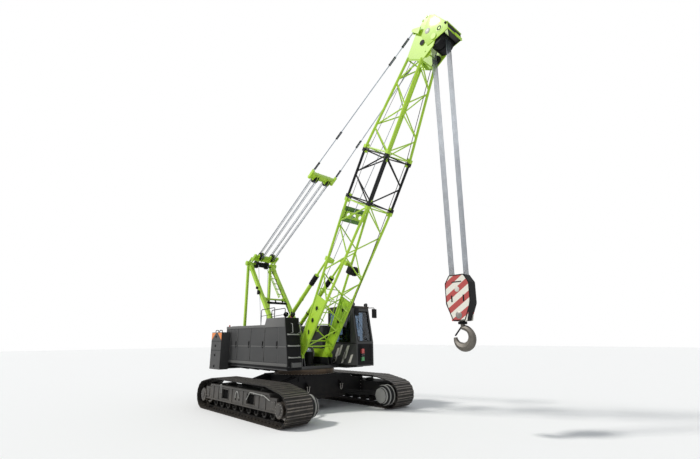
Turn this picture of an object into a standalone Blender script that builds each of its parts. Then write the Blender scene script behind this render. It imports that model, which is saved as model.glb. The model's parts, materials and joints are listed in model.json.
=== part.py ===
"""A lattice-boom crawler crane, standing with its boom raised.

Metres, +X forward, +Y to the crane's left, +Z up. While it is modelled, the slewing axis is at
x = 0, y = 0 and the ground at z = 0. The last step moves the root so that the middle of the
crane's footprint is at the origin.
"""

import math

import bmesh
import bpy
from mathutils import Matrix, Vector

# Gaps
SEAT_GAP = 0.0003  # between two pieces that touch
BEARING_GAP = 0.0003  # at pins, bearings and drum ends
RUN_GAP = 0.006  # between a moving piece and what it passes
OVERRUN = 0.05  # how far a cutter reaches past what it cuts
SINK = 0.01  # how far one shape is sunk into the shape that it is welded to
MERGE_DISTANCE = 1e-6

# Sides of round shapes
TUBE_SIDES = 8
LACING_SIDES = 6
ROPE_SIDES = 6
PIN_SIDES = 16
WHEEL_SIDES = 24
BOSS_SIDES = 32  # of the bosses that the spreader's links lie on
ARC_STEPS = 12

# Tracks
TRACK_GAUGE = 5.27
SHOE_WIDTH = 1.05
WHEEL_BASE = 5.60
TRACK_END_RADIUS = 0.54
TRACK_HEIGHT = 1.24
TRACK_SHOULDER_X = 1.95
TRACK_SHOULDER_RADIUS = 0.45
SHOE_COUNT = 64
SHOE_THICKNESS = 0.055
SHOE_NOTCH_DEPTH = 0.03
SHOE_SHARES = (0.04, 0.96)  # where a shoe's plate starts and ends along its pitch
CHAIN_WIDTH = 0.34
CHAIN_THICKNESS = 0.10

# Track frames
FRAME_WIDTH = 0.85
FRAME_BOTTOM = 0.42
FRAME_TOP = 0.98
FRAME_FRONT_X = 2.20
FRAME_REAR_X = -2.20
FORK_THICKNESS = 0.09
FORK_HEIGHT = 0.45
FORK_FRONT_X = 2.62
FORK_REAR_X = -2.66
FRAME_WINDOW_WIDTH = 0.52
FRAME_WINDOW_HEIGHT = 0.34
FRAME_WINDOW_DEPTH = 0.06
FRAME_WINDOW_X = 0.96
ROLLER_RADIUS = 0.125
ROLLER_WIDTH = 0.46
ROLLER_COUNT = 9
ROLLER_SPAN = 4.20
CARRIER_RADIUS = 0.085
CARRIER_X = 1.30
AXLE_RADIUS = 0.05
HUB_RADIUS = 0.25
HUB_STAND_OUT = 0.03  # of the end wheels' hubs, past the frame's face
DRIVE_RADIUS = 0.37
DRIVE_LENGTH = 0.42
DRIVE_COVER_RADIUS = 0.30
DRIVE_COVER_LENGTH = 0.10

# Carbody and slewing ring
CARBODY_LENGTH = 2.50
CARBODY_WIDTH = 2.40
CARBODY_BOTTOM = 0.46
CARBODY_TOP = 1.34
BEAM_LENGTH = 0.50
BEAM_X = 0.98
BEAM_BOTTOM = 0.55
BEAM_TOP = 1.14
RING_RADIUS = 1.22
RING_BORE = 0.92
RING_MIDDLE = 1.45
DECK_BOTTOM = 1.55

# Upper frame
DECK_THICKNESS = 0.12
DECK_FRONT_X = 0.92
DECK_REAR_X = -4.26
DECK_WIDTH = 3.04
WEB_THICKNESS = 0.04
WEB_TOP = 2.34
FOOT_PIN_X = 0.614
FOOT_PIN_Z = 2.098
FOOT_PIN_RADIUS = 0.055
FOOT_LUG_Y = 0.70
FOOT_LUG_THICKNESS = 0.10
FOOT_LUG_RADIUS = 0.13
SWING_RADIUS = 0.17
SWING_FLANGE_RADIUS = 0.24
SWING_X = 0.30
SWING_TOP = 2.20

# Machinery house, right side
HOUSE_SIDE_Y = 1.53
HOUSE_INNER_Y = 0.84
HOUSE_REAR_X = -4.30
HOUSE_FRONT_X = 0.92
HOUSE_ROOF = 3.31
HUMP_ROOF = 3.58
HUMP_REAR_X = -0.72
HUMP_FRONT_X = 0.64
HOUSE_WALL = 0.045
DOOR_BOTTOM = 1.82
DOOR_TOP = 3.20
DOOR_FIRST_X = -3.85
DOOR_WIDTHS = (0.67, 1.18, 1.15, 1.09)
DOOR_PILLAR = 0.05
DOOR_THICKNESS = 0.035
DOOR_HINGE_RADIUS = 0.014
DOOR_HANDLE_RADIUS = 0.012
DOOR_HANDLE_LENGTH = 0.192
DOOR_HANDLE_INSET = 0.072  # from the door's free edge
DOOR_HANDLE_STAND = 0.050
STEP_TOP = 2.91
STEP_PITCH = 0.44
STEP_COUNT = 3
STEP_REACH = 0.11
STEP_INSET = 0.10  # from the house's corners
STEP_RADIUS = 0.018
ENGINE_LENGTH = 1.70
ENGINE_HEIGHT = 1.05
ENGINE_WIDTH = 0.46
ENGINE_X = -1.90

# Counterweight
WEIGHT_REAR_X = -5.03
WEIGHT_WING_X = -3.90
WEIGHT_HALF_WIDTH = 1.97
WEIGHT_BOTTOM = 1.38
WEIGHT_SPLIT = 1.82
WEIGHT_TOP = 3.06
WEIGHT_CHAMFER = 0.10

# Cab
CAB_INNER_Y = 1.15
CAB_OUTER_Y = 2.15
CAB_REAR_X = 0.16
CAB_FRONT_X = 2.02
CAB_TOP_FRONT_X = 1.74
CAB_BOTTOM = 1.62
CAB_TOP = 4.08
CAB_WALL = 0.05
CAB_SILL = 2.58
CAB_HEAD = 3.88
CAB_SEAT = 0.02  # the gap between the cab and the deck's edge beside it
CAB_DOOR_REAR_X = 0.62
CAB_DOOR_FRONT_X = 1.42
CAB_DOOR_BOTTOM = 1.80
CAB_DOOR_TOP = 3.92
CAB_DOOR_THICKNESS = 0.035
CAB_DOOR_FRAME = 0.07
CAB_RAIL = 0.04
SEAT_WIDTH = 0.50
SEAT_BACK = 0.75
MIRROR_REACH = 0.26  # of the mirror's arm, ahead of the cab's roof
MIRROR_ARM_RADIUS = 0.016
MIRROR_WIDTH = 0.20
MIRROR_HEIGHT = 0.32
MIRROR_DEPTH = 0.05

# Winches between the webs
DRUM_HALF_LENGTH = 0.52
DRUM_RADIUS = 0.22
DRUM_FLANGE_RADIUS = 0.36
DRUM_FLANGE = 0.03
MAIN_DRUM_X = -0.35
AUX_DRUM_X = -1.95
LUFF_DRUM_X = -3.10
DRUM_Z = 2.10

# Gantry
GANTRY_HALF = 0.66
GANTRY_FOOT_X = -0.95
GANTRY_FOOT_Z = 2.52
GANTRY_TOP_X = -4.00
GANTRY_TOP_Z = 6.52
GANTRY_LEG = 0.16
GANTRY_LINK = 0.11
GANTRY_BEAM_HALF = 0.83
GANTRY_CROSS_SHARES = (0.16, 0.52)
GANTRY_AXLE_RADIUS = 0.07
GANTRY_BOSS_RADIUS = 0.11
GANTRY_BOSS_LENGTH = 0.25  # of the round boss on each end of the gantry's head axle
GANTRY_SHEAVE_RADIUS = 0.20
GANTRY_SHEAVE_Y = 0.30
LADDER_SHARES = (0.56, 0.92)  # where the ladder starts and ends along its leg
LADDER_WIDTH = 0.30
LADDER_RADIUS = 0.018
LADDER_RUNG_COUNT = 5

# Boom
BOOM_ANGLE = math.radians(59.67)
FOOT_SECTION = 6.68
INSERT_SECTION = 2.05
TIP_LATTICE_END = 12.42
BOOM_WIDTH = 1.30
BOOM_DEPTH = 1.29
FOOT_WIDTH = 1.40
FOOT_DEPTH = 0.34
TIP_WIDTH = 0.80
TIP_DEPTH = 0.70
CHORD_RADIUS = 0.052
CONNECTOR = 0.066  # half width of the blocks that join the sections' chords
CONNECTOR_LENGTH = 0.14
LACING_RADIUS = 0.027
LACING_TURN = math.radians(9)  # keeps the tubes' long edges from meeting one another exactly
LACING_SHARES = (0.50, 0.38)  # how far from a joint two neighbouring faces' lacings end
FOOT_BAY_COUNT = 6
INSERT_BAY_COUNT = 2
TIP_BAY_COUNT = 4
FOOT_PLATE_START = 0.45
FOOT_PLATE_END = 2.58
FOOT_PLATE_THICKNESS = 0.03
FOOT_HOLE_START = 1.04
FOOT_HOLE_PITCH = 0.525
FOOT_HOLE_COUNT = 3
FOOT_HOLE_RADIUS = 0.10
REST_PLATE_S = 6.00  # the plate across the rear face, with a lug for the boom's stand
REST_PLATE_LENGTH = 0.30
REST_HOLE_COUNT = 3
REST_HOLE_RADIUS = 0.09
REST_LUG_HEIGHT = 0.42
REST_LUG_WIDTH = 0.12
HEAD_END = 14.02
HEAD_PLATE_THICKNESS = 0.035
HEAD_AXLE_S = 13.19
HEAD_AXLE_T = -0.571
HEAD_AXLE_RADIUS = 0.055
HEAD_SHEAVE_RADIUS = 0.325
HEAD_SHEAVE_THICKNESS = 0.06
GUIDE_S = 12.66
GUIDE_T = -0.40
GUIDE_RADIUS = 0.17
GUIDE_Y = -0.30
GUIDE_WIDTH = 0.07
HEAD_BOSS_RADIUS = 0.11
HEAD_BOSS_LENGTH = 0.05
PENDANT_PIN_S = 13.42
PENDANT_PIN_T = 0.52
PENDANT_PIN_Y = 0.45
REEL_S = 3.80
REEL_T = 0.17
REEL_RADIUS = 0.19
REEL_WIDTH = 0.10

# Backstops
BACKSTOP_Y = 0.42
BACKSTOP_FOOT_X = -1.15
BACKSTOP_FOOT_Z = 3.20
BACKSTOP_HEAD_S = 4.00
BACKSTOP_HEAD_T = 0.76
BACKSTOP_BARREL_RADIUS = 0.085
BACKSTOP_ROD_RADIUS = 0.045
BACKSTOP_BARREL_LENGTH = 3.22
BACKSTOP_SLEEVE_LENGTH = 0.52
BACKSTOP_SLEEVE_RADIUS = 0.108
BACKSTOP_EYE_RADIUS = 0.085
BACKSTOP_EYE_WIDTH = 0.08
BACKSTOP_STROKE_IN = 0.80
BACKSTOP_PIN_RADIUS = 0.035

# Luffing suspension
SPREADER_UPPER = 7.30  # distance from the pendants' pins to the upper spreader's axle
SPREADER_LOWER = 12.62
SUSPENSION_LENGTH = 13.21
PENDANT_RADIUS = 0.022
PENDANT_EYE_RADIUS = 0.048
PENDANT_ANCHOR_RADIUS = 0.066
SPREADER_SHEAVE_RADIUS = 0.20
SPREADER_SHEAVE_Y = 0.33
SPREADER_HALF = 0.66
SPREADER_LINK = 0.07  # half height of a spreader's links
ROPE_RADIUS = 0.013

# Hoist
HOIST_DROP = 9.02  # from the head sheaves' axle to the block's axle
BLOCK_HALF_WIDTH = 0.41
BLOCK_TOP_HALF = 0.25
BLOCK_UP = 0.44
BLOCK_DOWN = 0.94
BLOCK_THICKNESS = 0.36
HOOK_DROP = 1.82
HOOK_THROAT = 0.28  # radius of the hook's bend, to the middle of its bar
HOOK_BAR = 0.14
# The hook's (way along, thickness)
HOOK_BAR_SHARES = ((0.00, 0.55), (0.25, 0.75), (0.50, 1.00), (0.75, 0.90), (1.00, 0.40))


def clear_scene():
    for thing in list(bpy.data.objects):
        bpy.data.objects.remove(thing, do_unlink=True)


clear_scene()
PARTS = bpy.data.collections.new("crawler_crane")
CUTTERS = bpy.data.collections.new("cutters")
CUTTERS.hide_render = True
bpy.context.scene.collection.children.link(PARTS)
bpy.context.scene.collection.children.link(CUTTERS)


# Materials


def paint(name, colour, roughness, metallic):
    made = bpy.data.materials.new(name)
    made.use_nodes = True
    shader = made.node_tree.nodes["Principled BSDF"]
    shader.inputs["Base Color"].default_value = (*colour, 1.0)
    shader.inputs["Roughness"].default_value = roughness
    shader.inputs["Metallic"].default_value = metallic
    return made


LIME = ("lime_paint", (0.33, 0.62, 0.06), 0.35, 0.0)
SLATE = ("slate_paint", (0.10, 0.11, 0.12), 0.45, 0.0)
STEEL = ("track_steel", (0.13, 0.12, 0.11), 0.60, 0.7)
GREY = ("grey_paint", (0.15, 0.145, 0.14), 0.45, 0.0)
DARK = ("dark_paint", (0.05, 0.05, 0.055), 0.50, 0.0)
ROPE = ("wire_rope", (0.45, 0.47, 0.50), 0.50, 0.8)
TRIM = ("seat_vinyl", (0.03, 0.03, 0.03), 0.70, 0.0)


# Shapes: each function returns a new mesh in the frame of the body that carries it


def mesh_from(shape, name="shape"):
    mesh = bpy.data.meshes.new(name)
    shape.to_mesh(mesh)
    shape.free()
    return mesh


def box(low, high):
    shape = bmesh.new()
    bmesh.ops.create_cube(shape, size=1.0)
    low, high = Vector(low), Vector(high)
    size = high - low
    middle = (low + high) / 2
    bmesh.ops.transform(shape, matrix=Matrix.LocRotScale(middle, None, size), verts=shape.verts)
    return mesh_from(shape)


def bar(start, end, wide, deep):
    """A square bar between two points, `wide` along Y where it can be."""
    start, end = Vector(start), Vector(end)
    along = end - start
    shape = bmesh.new()
    bmesh.ops.create_cube(shape, size=1.0)
    turn = along.to_track_quat("Z", "Y")
    place = Matrix.LocRotScale((start + end) / 2, turn, Vector((deep, wide, along.length)))
    bmesh.ops.transform(shape, matrix=place, verts=shape.verts)
    return mesh_from(shape)


def rod(start, end, radius, sides=TUBE_SIDES, turn=0.0):
    """A cylinder between two points; `turn` turns its sides about its own axis."""
    start, end = Vector(start), Vector(end)
    along = end - start
    shape = bmesh.new()
    bmesh.ops.create_cone(
        shape, cap_ends=True, segments=sides, radius1=radius, radius2=radius, depth=along.length
    )
    place = Matrix.LocRotScale((start + end) / 2, along.to_track_quat("Z", "Y"), None)
    place = place @ Matrix.Rotation(turn, 4, "Z")
    bmesh.ops.transform(shape, matrix=place, verts=shape.verts)
    return mesh_from(shape)


def wheel(x, z, y_from, y_to, radius, sides=WHEEL_SIDES):
    """A cylinder along Y."""
    return rod((x, y_from, z), (x, y_to, z), radius, sides)


def evaluated_mesh(thing):
    CUTTERS.objects.link(thing)
    bpy.context.view_layer.update()
    graph = bpy.context.evaluated_depsgraph_get()
    mesh = bpy.data.meshes.new_from_object(thing.evaluated_get(graph), depsgraph=graph)
    data = thing.data
    bpy.data.objects.remove(thing, do_unlink=True)
    (bpy.data.curves if isinstance(data, bpy.types.Curve) else bpy.data.meshes).remove(data)
    return mesh


def cleaned(mesh, place=None):
    shape = bmesh.new()
    shape.from_mesh(mesh)
    bmesh.ops.remove_doubles(shape, verts=shape.verts, dist=MERGE_DISTANCE)
    if place:
        bmesh.ops.transform(shape, matrix=place, verts=shape.verts)
    bmesh.ops.recalc_face_normals(shape, faces=shape.faces)
    shape.to_mesh(mesh)
    shape.free()
    return mesh


# Where a flat outline's own X, Y and thickness go
UPRIGHT = Matrix(((1, 0, 0, 0), (0, 0, -1, 0), (0, 1, 0, 0), (0, 0, 0, 1)))


def plate(outlines, thickness, place):
    """A flat plate from its outline and the outlines of its holes."""
    curve = bpy.data.curves.new("outline", "CURVE")
    curve.dimensions = "2D"
    curve.fill_mode = "BOTH"
    curve.extrude = thickness / 2
    for outline in outlines:
        spline = curve.splines.new("POLY")
        spline.points.add(len(outline) - 1)
        for point, (x, y) in zip(spline.points, outline):
            point.co = (x, y, 0, 1)
        spline.use_cyclic_u = True
    thing = bpy.data.objects.new("outline", curve)
    return cleaned(evaluated_mesh(thing), place)


def side_plate(outlines, y, thickness):
    """A plate that stands in the XZ plane, with its middle at `y`."""
    return plate(outlines, thickness, Matrix.Translation((0, y, 0)) @ UPRIGHT)


def rope_flat():
    """From a rope's middle to its flats, which lie on the sheaves."""
    return ROPE_RADIUS * math.cos(math.pi / ROPE_SIDES)


def pipe(points, radius, sides=TUBE_SIDES, shares=None):
    """A tube along a path; `shares` scales its radius at each point."""
    curve = bpy.data.curves.new("pipe", "CURVE")
    curve.dimensions = "3D"
    curve.bevel_depth = radius
    curve.bevel_resolution = sides // 2 - 2
    curve.use_fill_caps = True
    spline = curve.splines.new("POLY")
    spline.points.add(len(points) - 1)
    for point, place, share in zip(spline.points, points, shares or [1] * len(points)):
        point.co = (*place, 1)
        point.radius = share
    thing = bpy.data.objects.new("pipe", curve)
    return cleaned(evaluated_mesh(thing))


def turned(profile, place, sides=WHEEL_SIDES):
    """A profile of (radius, height) pairs, closed into a ring and turned about Z, then placed."""
    mesh = bpy.data.meshes.new("profile")
    points = [(radius, 0, height) for radius, height in profile]
    edges = [(i, (i + 1) % len(points)) for i in range(len(points))]
    mesh.from_pydata(points, edges, [])
    thing = bpy.data.objects.new("profile", mesh)
    screw = thing.modifiers.new("turn", "SCREW")
    screw.steps = screw.render_steps = sides
    screw.use_merge_vertices = True
    screw.merge_threshold = MERGE_DISTANCE
    return cleaned(evaluated_mesh(thing), place)


def along_y(x, y, z):
    """Turns +Z to +Y and moves it to a point."""
    return Matrix.Translation((x, y, z)) @ Matrix.Rotation(-math.pi / 2, 4, "X")


def circle(x, y, radius, sides=PIN_SIDES):
    turns = [2 * math.pi * (i + 0.5) / sides for i in range(sides)]
    return [(x + radius * math.cos(turn), y + radius * math.sin(turn)) for turn in turns]


def arc(x, y, radius, start, end, steps):
    turns = [start + (end - start) * i / steps for i in range(steps + 1)]
    return [(x + radius * math.cos(turn), y + radius * math.sin(turn)) for turn in turns]


def rectangle(x0, y0, x1, y1):
    return [(x0, y0), (x1, y0), (x1, y1), (x0, y1)]


def hole_radius(pin_radius, sides=PIN_SIDES):
    """The radius of a faceted hole in which a faceted pin can turn."""
    return (pin_radius + BEARING_GAP) / math.cos(math.pi / sides)


# Nodes and bodies


def empty(name, parent, location=(0, 0, 0), pitch=0.0):
    """An empty on a joint's axis; `pitch` raises its +X above its parent's."""
    made = bpy.data.objects.new(name, None)
    made.empty_display_size = RING_RADIUS / 4
    made.location = location
    made.rotation_euler = (0, -pitch, 0)
    made.parent = parent
    PARTS.objects.link(made)
    return made


def helper_collection(name, meshes, body):
    made = bpy.data.collections.new(name)
    CUTTERS.children.link(made)
    for index, mesh in enumerate(meshes):
        thing = bpy.data.objects.new(f"{name}_{index}", mesh)
        thing.parent = body
        thing.hide_render = True
        thing.display_type = "WIRE"
        made.objects.link(thing)
    return made


NODES = []


def node(name, body, finish, shapes, cuts=(), solver="EXACT"):
    """Notes down one named object: the union of its shapes, less its cuts."""
    NODES.append((name, body, finish, shapes, cuts, solver))


def assemble(name, body, finish, shapes, cuts, solver):
    if finish[0] not in bpy.data.materials:
        paint(*finish)
    thing = bpy.data.objects.new(name, shapes[0])
    thing.data.name = name
    thing.data.materials.append(bpy.data.materials[finish[0]])
    thing.parent = body
    PARTS.objects.link(thing)
    if len(shapes) > 1:
        join = thing.modifiers.new("join", "BOOLEAN")
        join.operation = "UNION"
        join.solver = solver
        join.operand_type = "COLLECTION"
        join.collection = helper_collection(f"{name}_joined", shapes[1:], body)
    if cuts:
        cut = thing.modifiers.new("cut", "BOOLEAN")
        cut.operation = "DIFFERENCE"
        cut.operand_type = "COLLECTION"
        cut.collection = helper_collection(f"{name}_cut", cuts, body)
    return thing


def centre_footprint(things):
    """Moves the root so that the middle of the crane's footprint is at the origin."""
    bpy.context.view_layer.update()
    graph = bpy.context.evaluated_depsgraph_get()
    places = []
    for thing in things:
        whole = thing.evaluated_get(graph)
        places += [whole.matrix_world @ vertex.co for vertex in whole.data.vertices]
    low = [min(place[axis] for place in places) for axis in range(3)]
    high = [max(place[axis] for place in places) for axis in range(3)]
    ROOT.location = (-(low[0] + high[0]) / 2, -(low[1] + high[1]) / 2, -low[2])


ROOT = empty("crane", None)
UPPER = empty("slewing_axis", ROOT, (0, 0, RING_MIDDLE))
# The upper's pieces are modelled from the ground, so their body's empty stands on it
DECK = empty("upper", UPPER, (0, 0, -RING_MIDDLE))
BOOM = empty("boom_axis", DECK, (FOOT_PIN_X, 0, FOOT_PIN_Z), BOOM_ANGLE)


def on_boom(along, rise):
    """A point of the boom's own side view, seen from the ground, as (x, z)."""
    cos, sin = math.cos(BOOM_ANGLE), math.sin(BOOM_ANGLE)
    return FOOT_PIN_X + along * cos - rise * sin, FOOT_PIN_Z + along * sin + rise * cos


# Tracks


def belt_path(circles, arc_steps):
    """The outline round circles (x, z, radius), taken anticlockwise, as (x, z, normal angle)."""
    count = len(circles)
    legs = []
    for index, (x0, z0, r0) in enumerate(circles):
        x1, z1, r1 = circles[(index + 1) % count]
        heading = math.atan2(z1 - z0, x1 - x0)
        lean = math.asin((r0 - r1) / math.hypot(x1 - x0, z1 - z0))
        legs.append(heading - math.pi / 2 + lean)
    path = []
    for index, (x, z, radius) in enumerate(circles):
        start, end = legs[index - 1], legs[index]
        while end < start:
            end += 2 * math.pi
        for step in range(arc_steps + 1):
            turn = start + (end - start) * step / arc_steps
            path.append((x + radius * math.cos(turn), z + radius * math.sin(turn), turn))
    return path


def track_circles(inset):
    end, shoulder = TRACK_END_RADIUS - inset, TRACK_SHOULDER_RADIUS - inset
    low, high = TRACK_END_RADIUS, TRACK_HEIGHT - TRACK_SHOULDER_RADIUS
    half = WHEEL_BASE / 2
    return [
        (half, low, end),
        (TRACK_SHOULDER_X, high, shoulder),
        (-TRACK_SHOULDER_X, high, shoulder),
        (-half, low, end),
    ]


def measured(path):
    """The distance along a closed path at each of its points."""
    lengths = [0.0]
    for (x0, z0, _), (x1, z1, _) in zip(path, path[1:]):
        lengths.append(lengths[-1] + math.hypot(x1 - x0, z1 - z0))
    return lengths


def nearest(outline, x, z):
    """How near the edges of a closed outline come to a point."""
    point = Vector((x, z))
    found = []
    for start, end in zip(outline, outline[1:] + outline[:1]):
        start, end = Vector(start), Vector(end)
        share = (point - start).dot(end - start) / (end - start).length_squared
        found.append((start + (end - start) * min(max(share, 0), 1) - point).length)
    return min(found)


def track_outline(inset, notched):
    """The loop's outline at a depth below the shoes' faces, with a point at each shoe's edges."""
    path = belt_path(track_circles(inset), ARC_STEPS)
    path.append(path[0])
    lengths = measured(path)

    def at(distance, depth):
        leg = next(i for i in range(1, len(lengths)) if lengths[i] >= distance)
        share = (distance - lengths[leg - 1]) / (lengths[leg] - lengths[leg - 1])
        (x0, z0, n0), (x1, z1, n1) = path[leg - 1], path[leg]
        n1 += 2 * math.pi * round((n0 - n1) / (2 * math.pi))
        normal = n0 + (n1 - n0) * share
        x, z = x0 + (x1 - x0) * share, z0 + (z1 - z0) * share
        return x - depth * math.cos(normal), z - depth * math.sin(normal)

    pitch = lengths[-1] / SHOE_COUNT
    outline = []
    for shoe in range(SHOE_COUNT):
        if not notched:
            outline.append(at((shoe + 0.5) * pitch, 0))
            continue
        start, end = [(shoe + share) * pitch for share in SHOE_SHARES]
        for distance, depth in ((start, SHOE_NOTCH_DEPTH), (start, 0), (end, 0), (end, SHOE_NOTCH_DEPTH)):
            outline.append(at(distance, depth))
    return outline


def track_loop(side, middle):
    chain_top = SHOE_THICKNESS - SINK
    shoes = side_plate([track_outline(0, True), track_outline(SHOE_THICKNESS, False)], middle, SHOE_WIDTH)
    chain = side_plate(
        [track_outline(chain_top, False), track_outline(SHOE_THICKNESS + CHAIN_THICKNESS, False)],
        middle,
        CHAIN_WIDTH,
    )
    node(f"track_loop_{side}", ROOT, STEEL, [shoes, chain], solver="MANIFOLD")


def track_frame(side, middle, outward):
    """The box frame, its forks for both wheels, and the rollers on it."""
    half = FRAME_WIDTH / 2
    beam = box((FRAME_REAR_X, middle - half, FRAME_BOTTOM), (FRAME_FRONT_X, middle + half, FRAME_TOP))
    shapes = [beam]
    for edge in (-1, 1):
        outer = middle + edge * half
        inner = outer - edge * FORK_THICKNESS
        low_y, high_y = sorted((outer, inner))
        high = FRAME_BOTTOM + FORK_HEIGHT
        shapes.append(box((FORK_REAR_X, low_y, FRAME_BOTTOM), (FORK_FRONT_X, high_y, high)))
    pitch = ROLLER_SPAN / (ROLLER_COUNT - 1)
    bottom = SHOE_THICKNESS + CHAIN_THICKNESS + SEAT_GAP + ROLLER_RADIUS
    for index in range(ROLLER_COUNT):
        x = -ROLLER_SPAN / 2 + index * pitch
        shapes.append(
            wheel(x, bottom, middle - ROLLER_WIDTH / 2, middle + ROLLER_WIDTH / 2, ROLLER_RADIUS, PIN_SIDES)
        )
        shapes.append(
            box(
                (x - AXLE_RADIUS, middle - ROLLER_WIDTH / 2 - AXLE_RADIUS, bottom - AXLE_RADIUS),
                (x + AXLE_RADIUS, middle + ROLLER_WIDTH / 2 + AXLE_RADIUS, FRAME_BOTTOM + SINK),
            )
        )
    top = TRACK_HEIGHT - SHOE_THICKNESS - CHAIN_THICKNESS - SEAT_GAP - CARRIER_RADIUS
    for x in (-CARRIER_X, CARRIER_X):
        shapes.append(
            wheel(x, top, middle - CHAIN_WIDTH / 2, middle + CHAIN_WIDTH / 2, CARRIER_RADIUS, PIN_SIDES)
        )
        shapes.append(
            box(
                (x - AXLE_RADIUS, middle - CHAIN_WIDTH / 2 - AXLE_RADIUS, FRAME_TOP - SINK),
                (x + AXLE_RADIUS, middle + CHAIN_WIDTH / 2 + AXLE_RADIUS, top + AXLE_RADIUS / 2),
            )
        )
    face = middle + outward * half
    deep = face - outward * FRAME_WINDOW_DEPTH
    past = face + outward * OVERRUN
    centre = (FRAME_BOTTOM + FRAME_TOP) / 2
    cuts = []
    for x in (-FRAME_WINDOW_X, FRAME_WINDOW_X):
        low_y, high_y = sorted((deep, past))
        cuts.append(
            box(
                (x - FRAME_WINDOW_WIDTH / 2, low_y, centre - FRAME_WINDOW_HEIGHT / 2),
                (x + FRAME_WINDOW_WIDTH / 2, high_y, centre + FRAME_WINDOW_HEIGHT / 2),
            )
        )
    node(f"track_frame_{side}", ROOT, GREY, shapes, cuts)


def end_wheel(name, middle, x, outward):
    """A sprocket or an idler, seated in its fork, with a hub that shows outside."""
    inside_loop = track_outline(SHOE_THICKNESS + CHAIN_THICKNESS, False)
    rim = nearest(inside_loop, x, TRACK_END_RADIUS) - SEAT_GAP
    half = FRAME_WIDTH / 2
    inside = half - FORK_THICKNESS - SEAT_GAP
    tread = wheel(x, TRACK_END_RADIUS, middle - CHAIN_WIDTH / 2, middle + CHAIN_WIDTH / 2, rim)
    hub = wheel(x, TRACK_END_RADIUS, middle - inside, middle + inside, HUB_RADIUS)
    face = middle + outward * (half + SEAT_GAP)
    past = middle + outward * (half + HUB_STAND_OUT)
    free = WHEEL_BASE / 2 - max(FORK_FRONT_X, -FORK_REAR_X) - RUN_GAP
    stub = wheel(x, TRACK_END_RADIUS, middle + outward * (inside - SINK), face + outward * SINK, free)
    disc = wheel(x, TRACK_END_RADIUS, face, past, HUB_RADIUS)
    return node(name, ROOT, STEEL, [tread, hub, stub, disc])


def travel_drive(side, middle, outward):
    """The final drive on the inner side of the sprocket's fork, with its round cover."""
    inner = middle - outward * (FRAME_WIDTH / 2 + SEAT_GAP)
    past = inner - outward * DRIVE_LENGTH
    cover = past - outward * DRIVE_COVER_LENGTH
    x = WHEEL_BASE / 2
    node(
        f"travel_drive_{side}",
        ROOT,
        DARK,
        [
            wheel(x, TRACK_END_RADIUS, inner, past, DRIVE_RADIUS),
            wheel(x, TRACK_END_RADIUS, past + outward * SINK, cover, DRIVE_COVER_RADIUS),
        ],
    )


def tracks():
    for side, sign in (("right", -1), ("left", 1)):
        middle = sign * TRACK_GAUGE / 2
        track_loop(side, middle)
        track_frame(side, middle, sign)
        end_wheel(f"sprocket_{side}", middle, WHEEL_BASE / 2, sign)
        end_wheel(f"idler_{side}", middle, -WHEEL_BASE / 2, sign)
        travel_drive(side, middle, sign)


def carbody():
    half_x, half_y = CARBODY_LENGTH / 2, CARBODY_WIDTH / 2
    reach = TRACK_GAUGE / 2 - FRAME_WIDTH / 2 - SEAT_GAP
    shapes = [box((-half_x, -half_y, CARBODY_BOTTOM), (half_x, half_y, CARBODY_TOP))]
    for x in (-BEAM_X, BEAM_X):
        shapes.append(
            box((x - BEAM_LENGTH / 2, -reach, BEAM_BOTTOM), (x + BEAM_LENGTH / 2, reach, BEAM_TOP))
        )
    node("carbody", ROOT, SLATE, shapes)


def slewing_ring():
    lower = [
        (RING_RADIUS, CARBODY_TOP + SEAT_GAP),
        (RING_RADIUS, RING_MIDDLE - BEARING_GAP / 2),
        (RING_BORE, RING_MIDDLE - BEARING_GAP / 2),
        (RING_BORE, CARBODY_TOP + SEAT_GAP),
    ]
    upper = [
        (RING_RADIUS, RING_MIDDLE + BEARING_GAP / 2),
        (RING_RADIUS, DECK_BOTTOM - SEAT_GAP),
        (RING_BORE, DECK_BOTTOM - SEAT_GAP),
        (RING_BORE, RING_MIDDLE + BEARING_GAP / 2),
    ]
    node("slewing_ring_lower", ROOT, STEEL, [turned(lower, Matrix())])
    node("slewing_ring_upper", DECK, STEEL, [turned(upper, Matrix())])


# Upper


def foot_lug_faces():
    """The clear width between a foot fork's two plates, as lowest and highest y on the left side."""
    half = FOOT_LUG_THICKNESS / 2 + RUN_GAP
    return FOOT_LUG_Y - half, FOOT_LUG_Y + half


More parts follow.
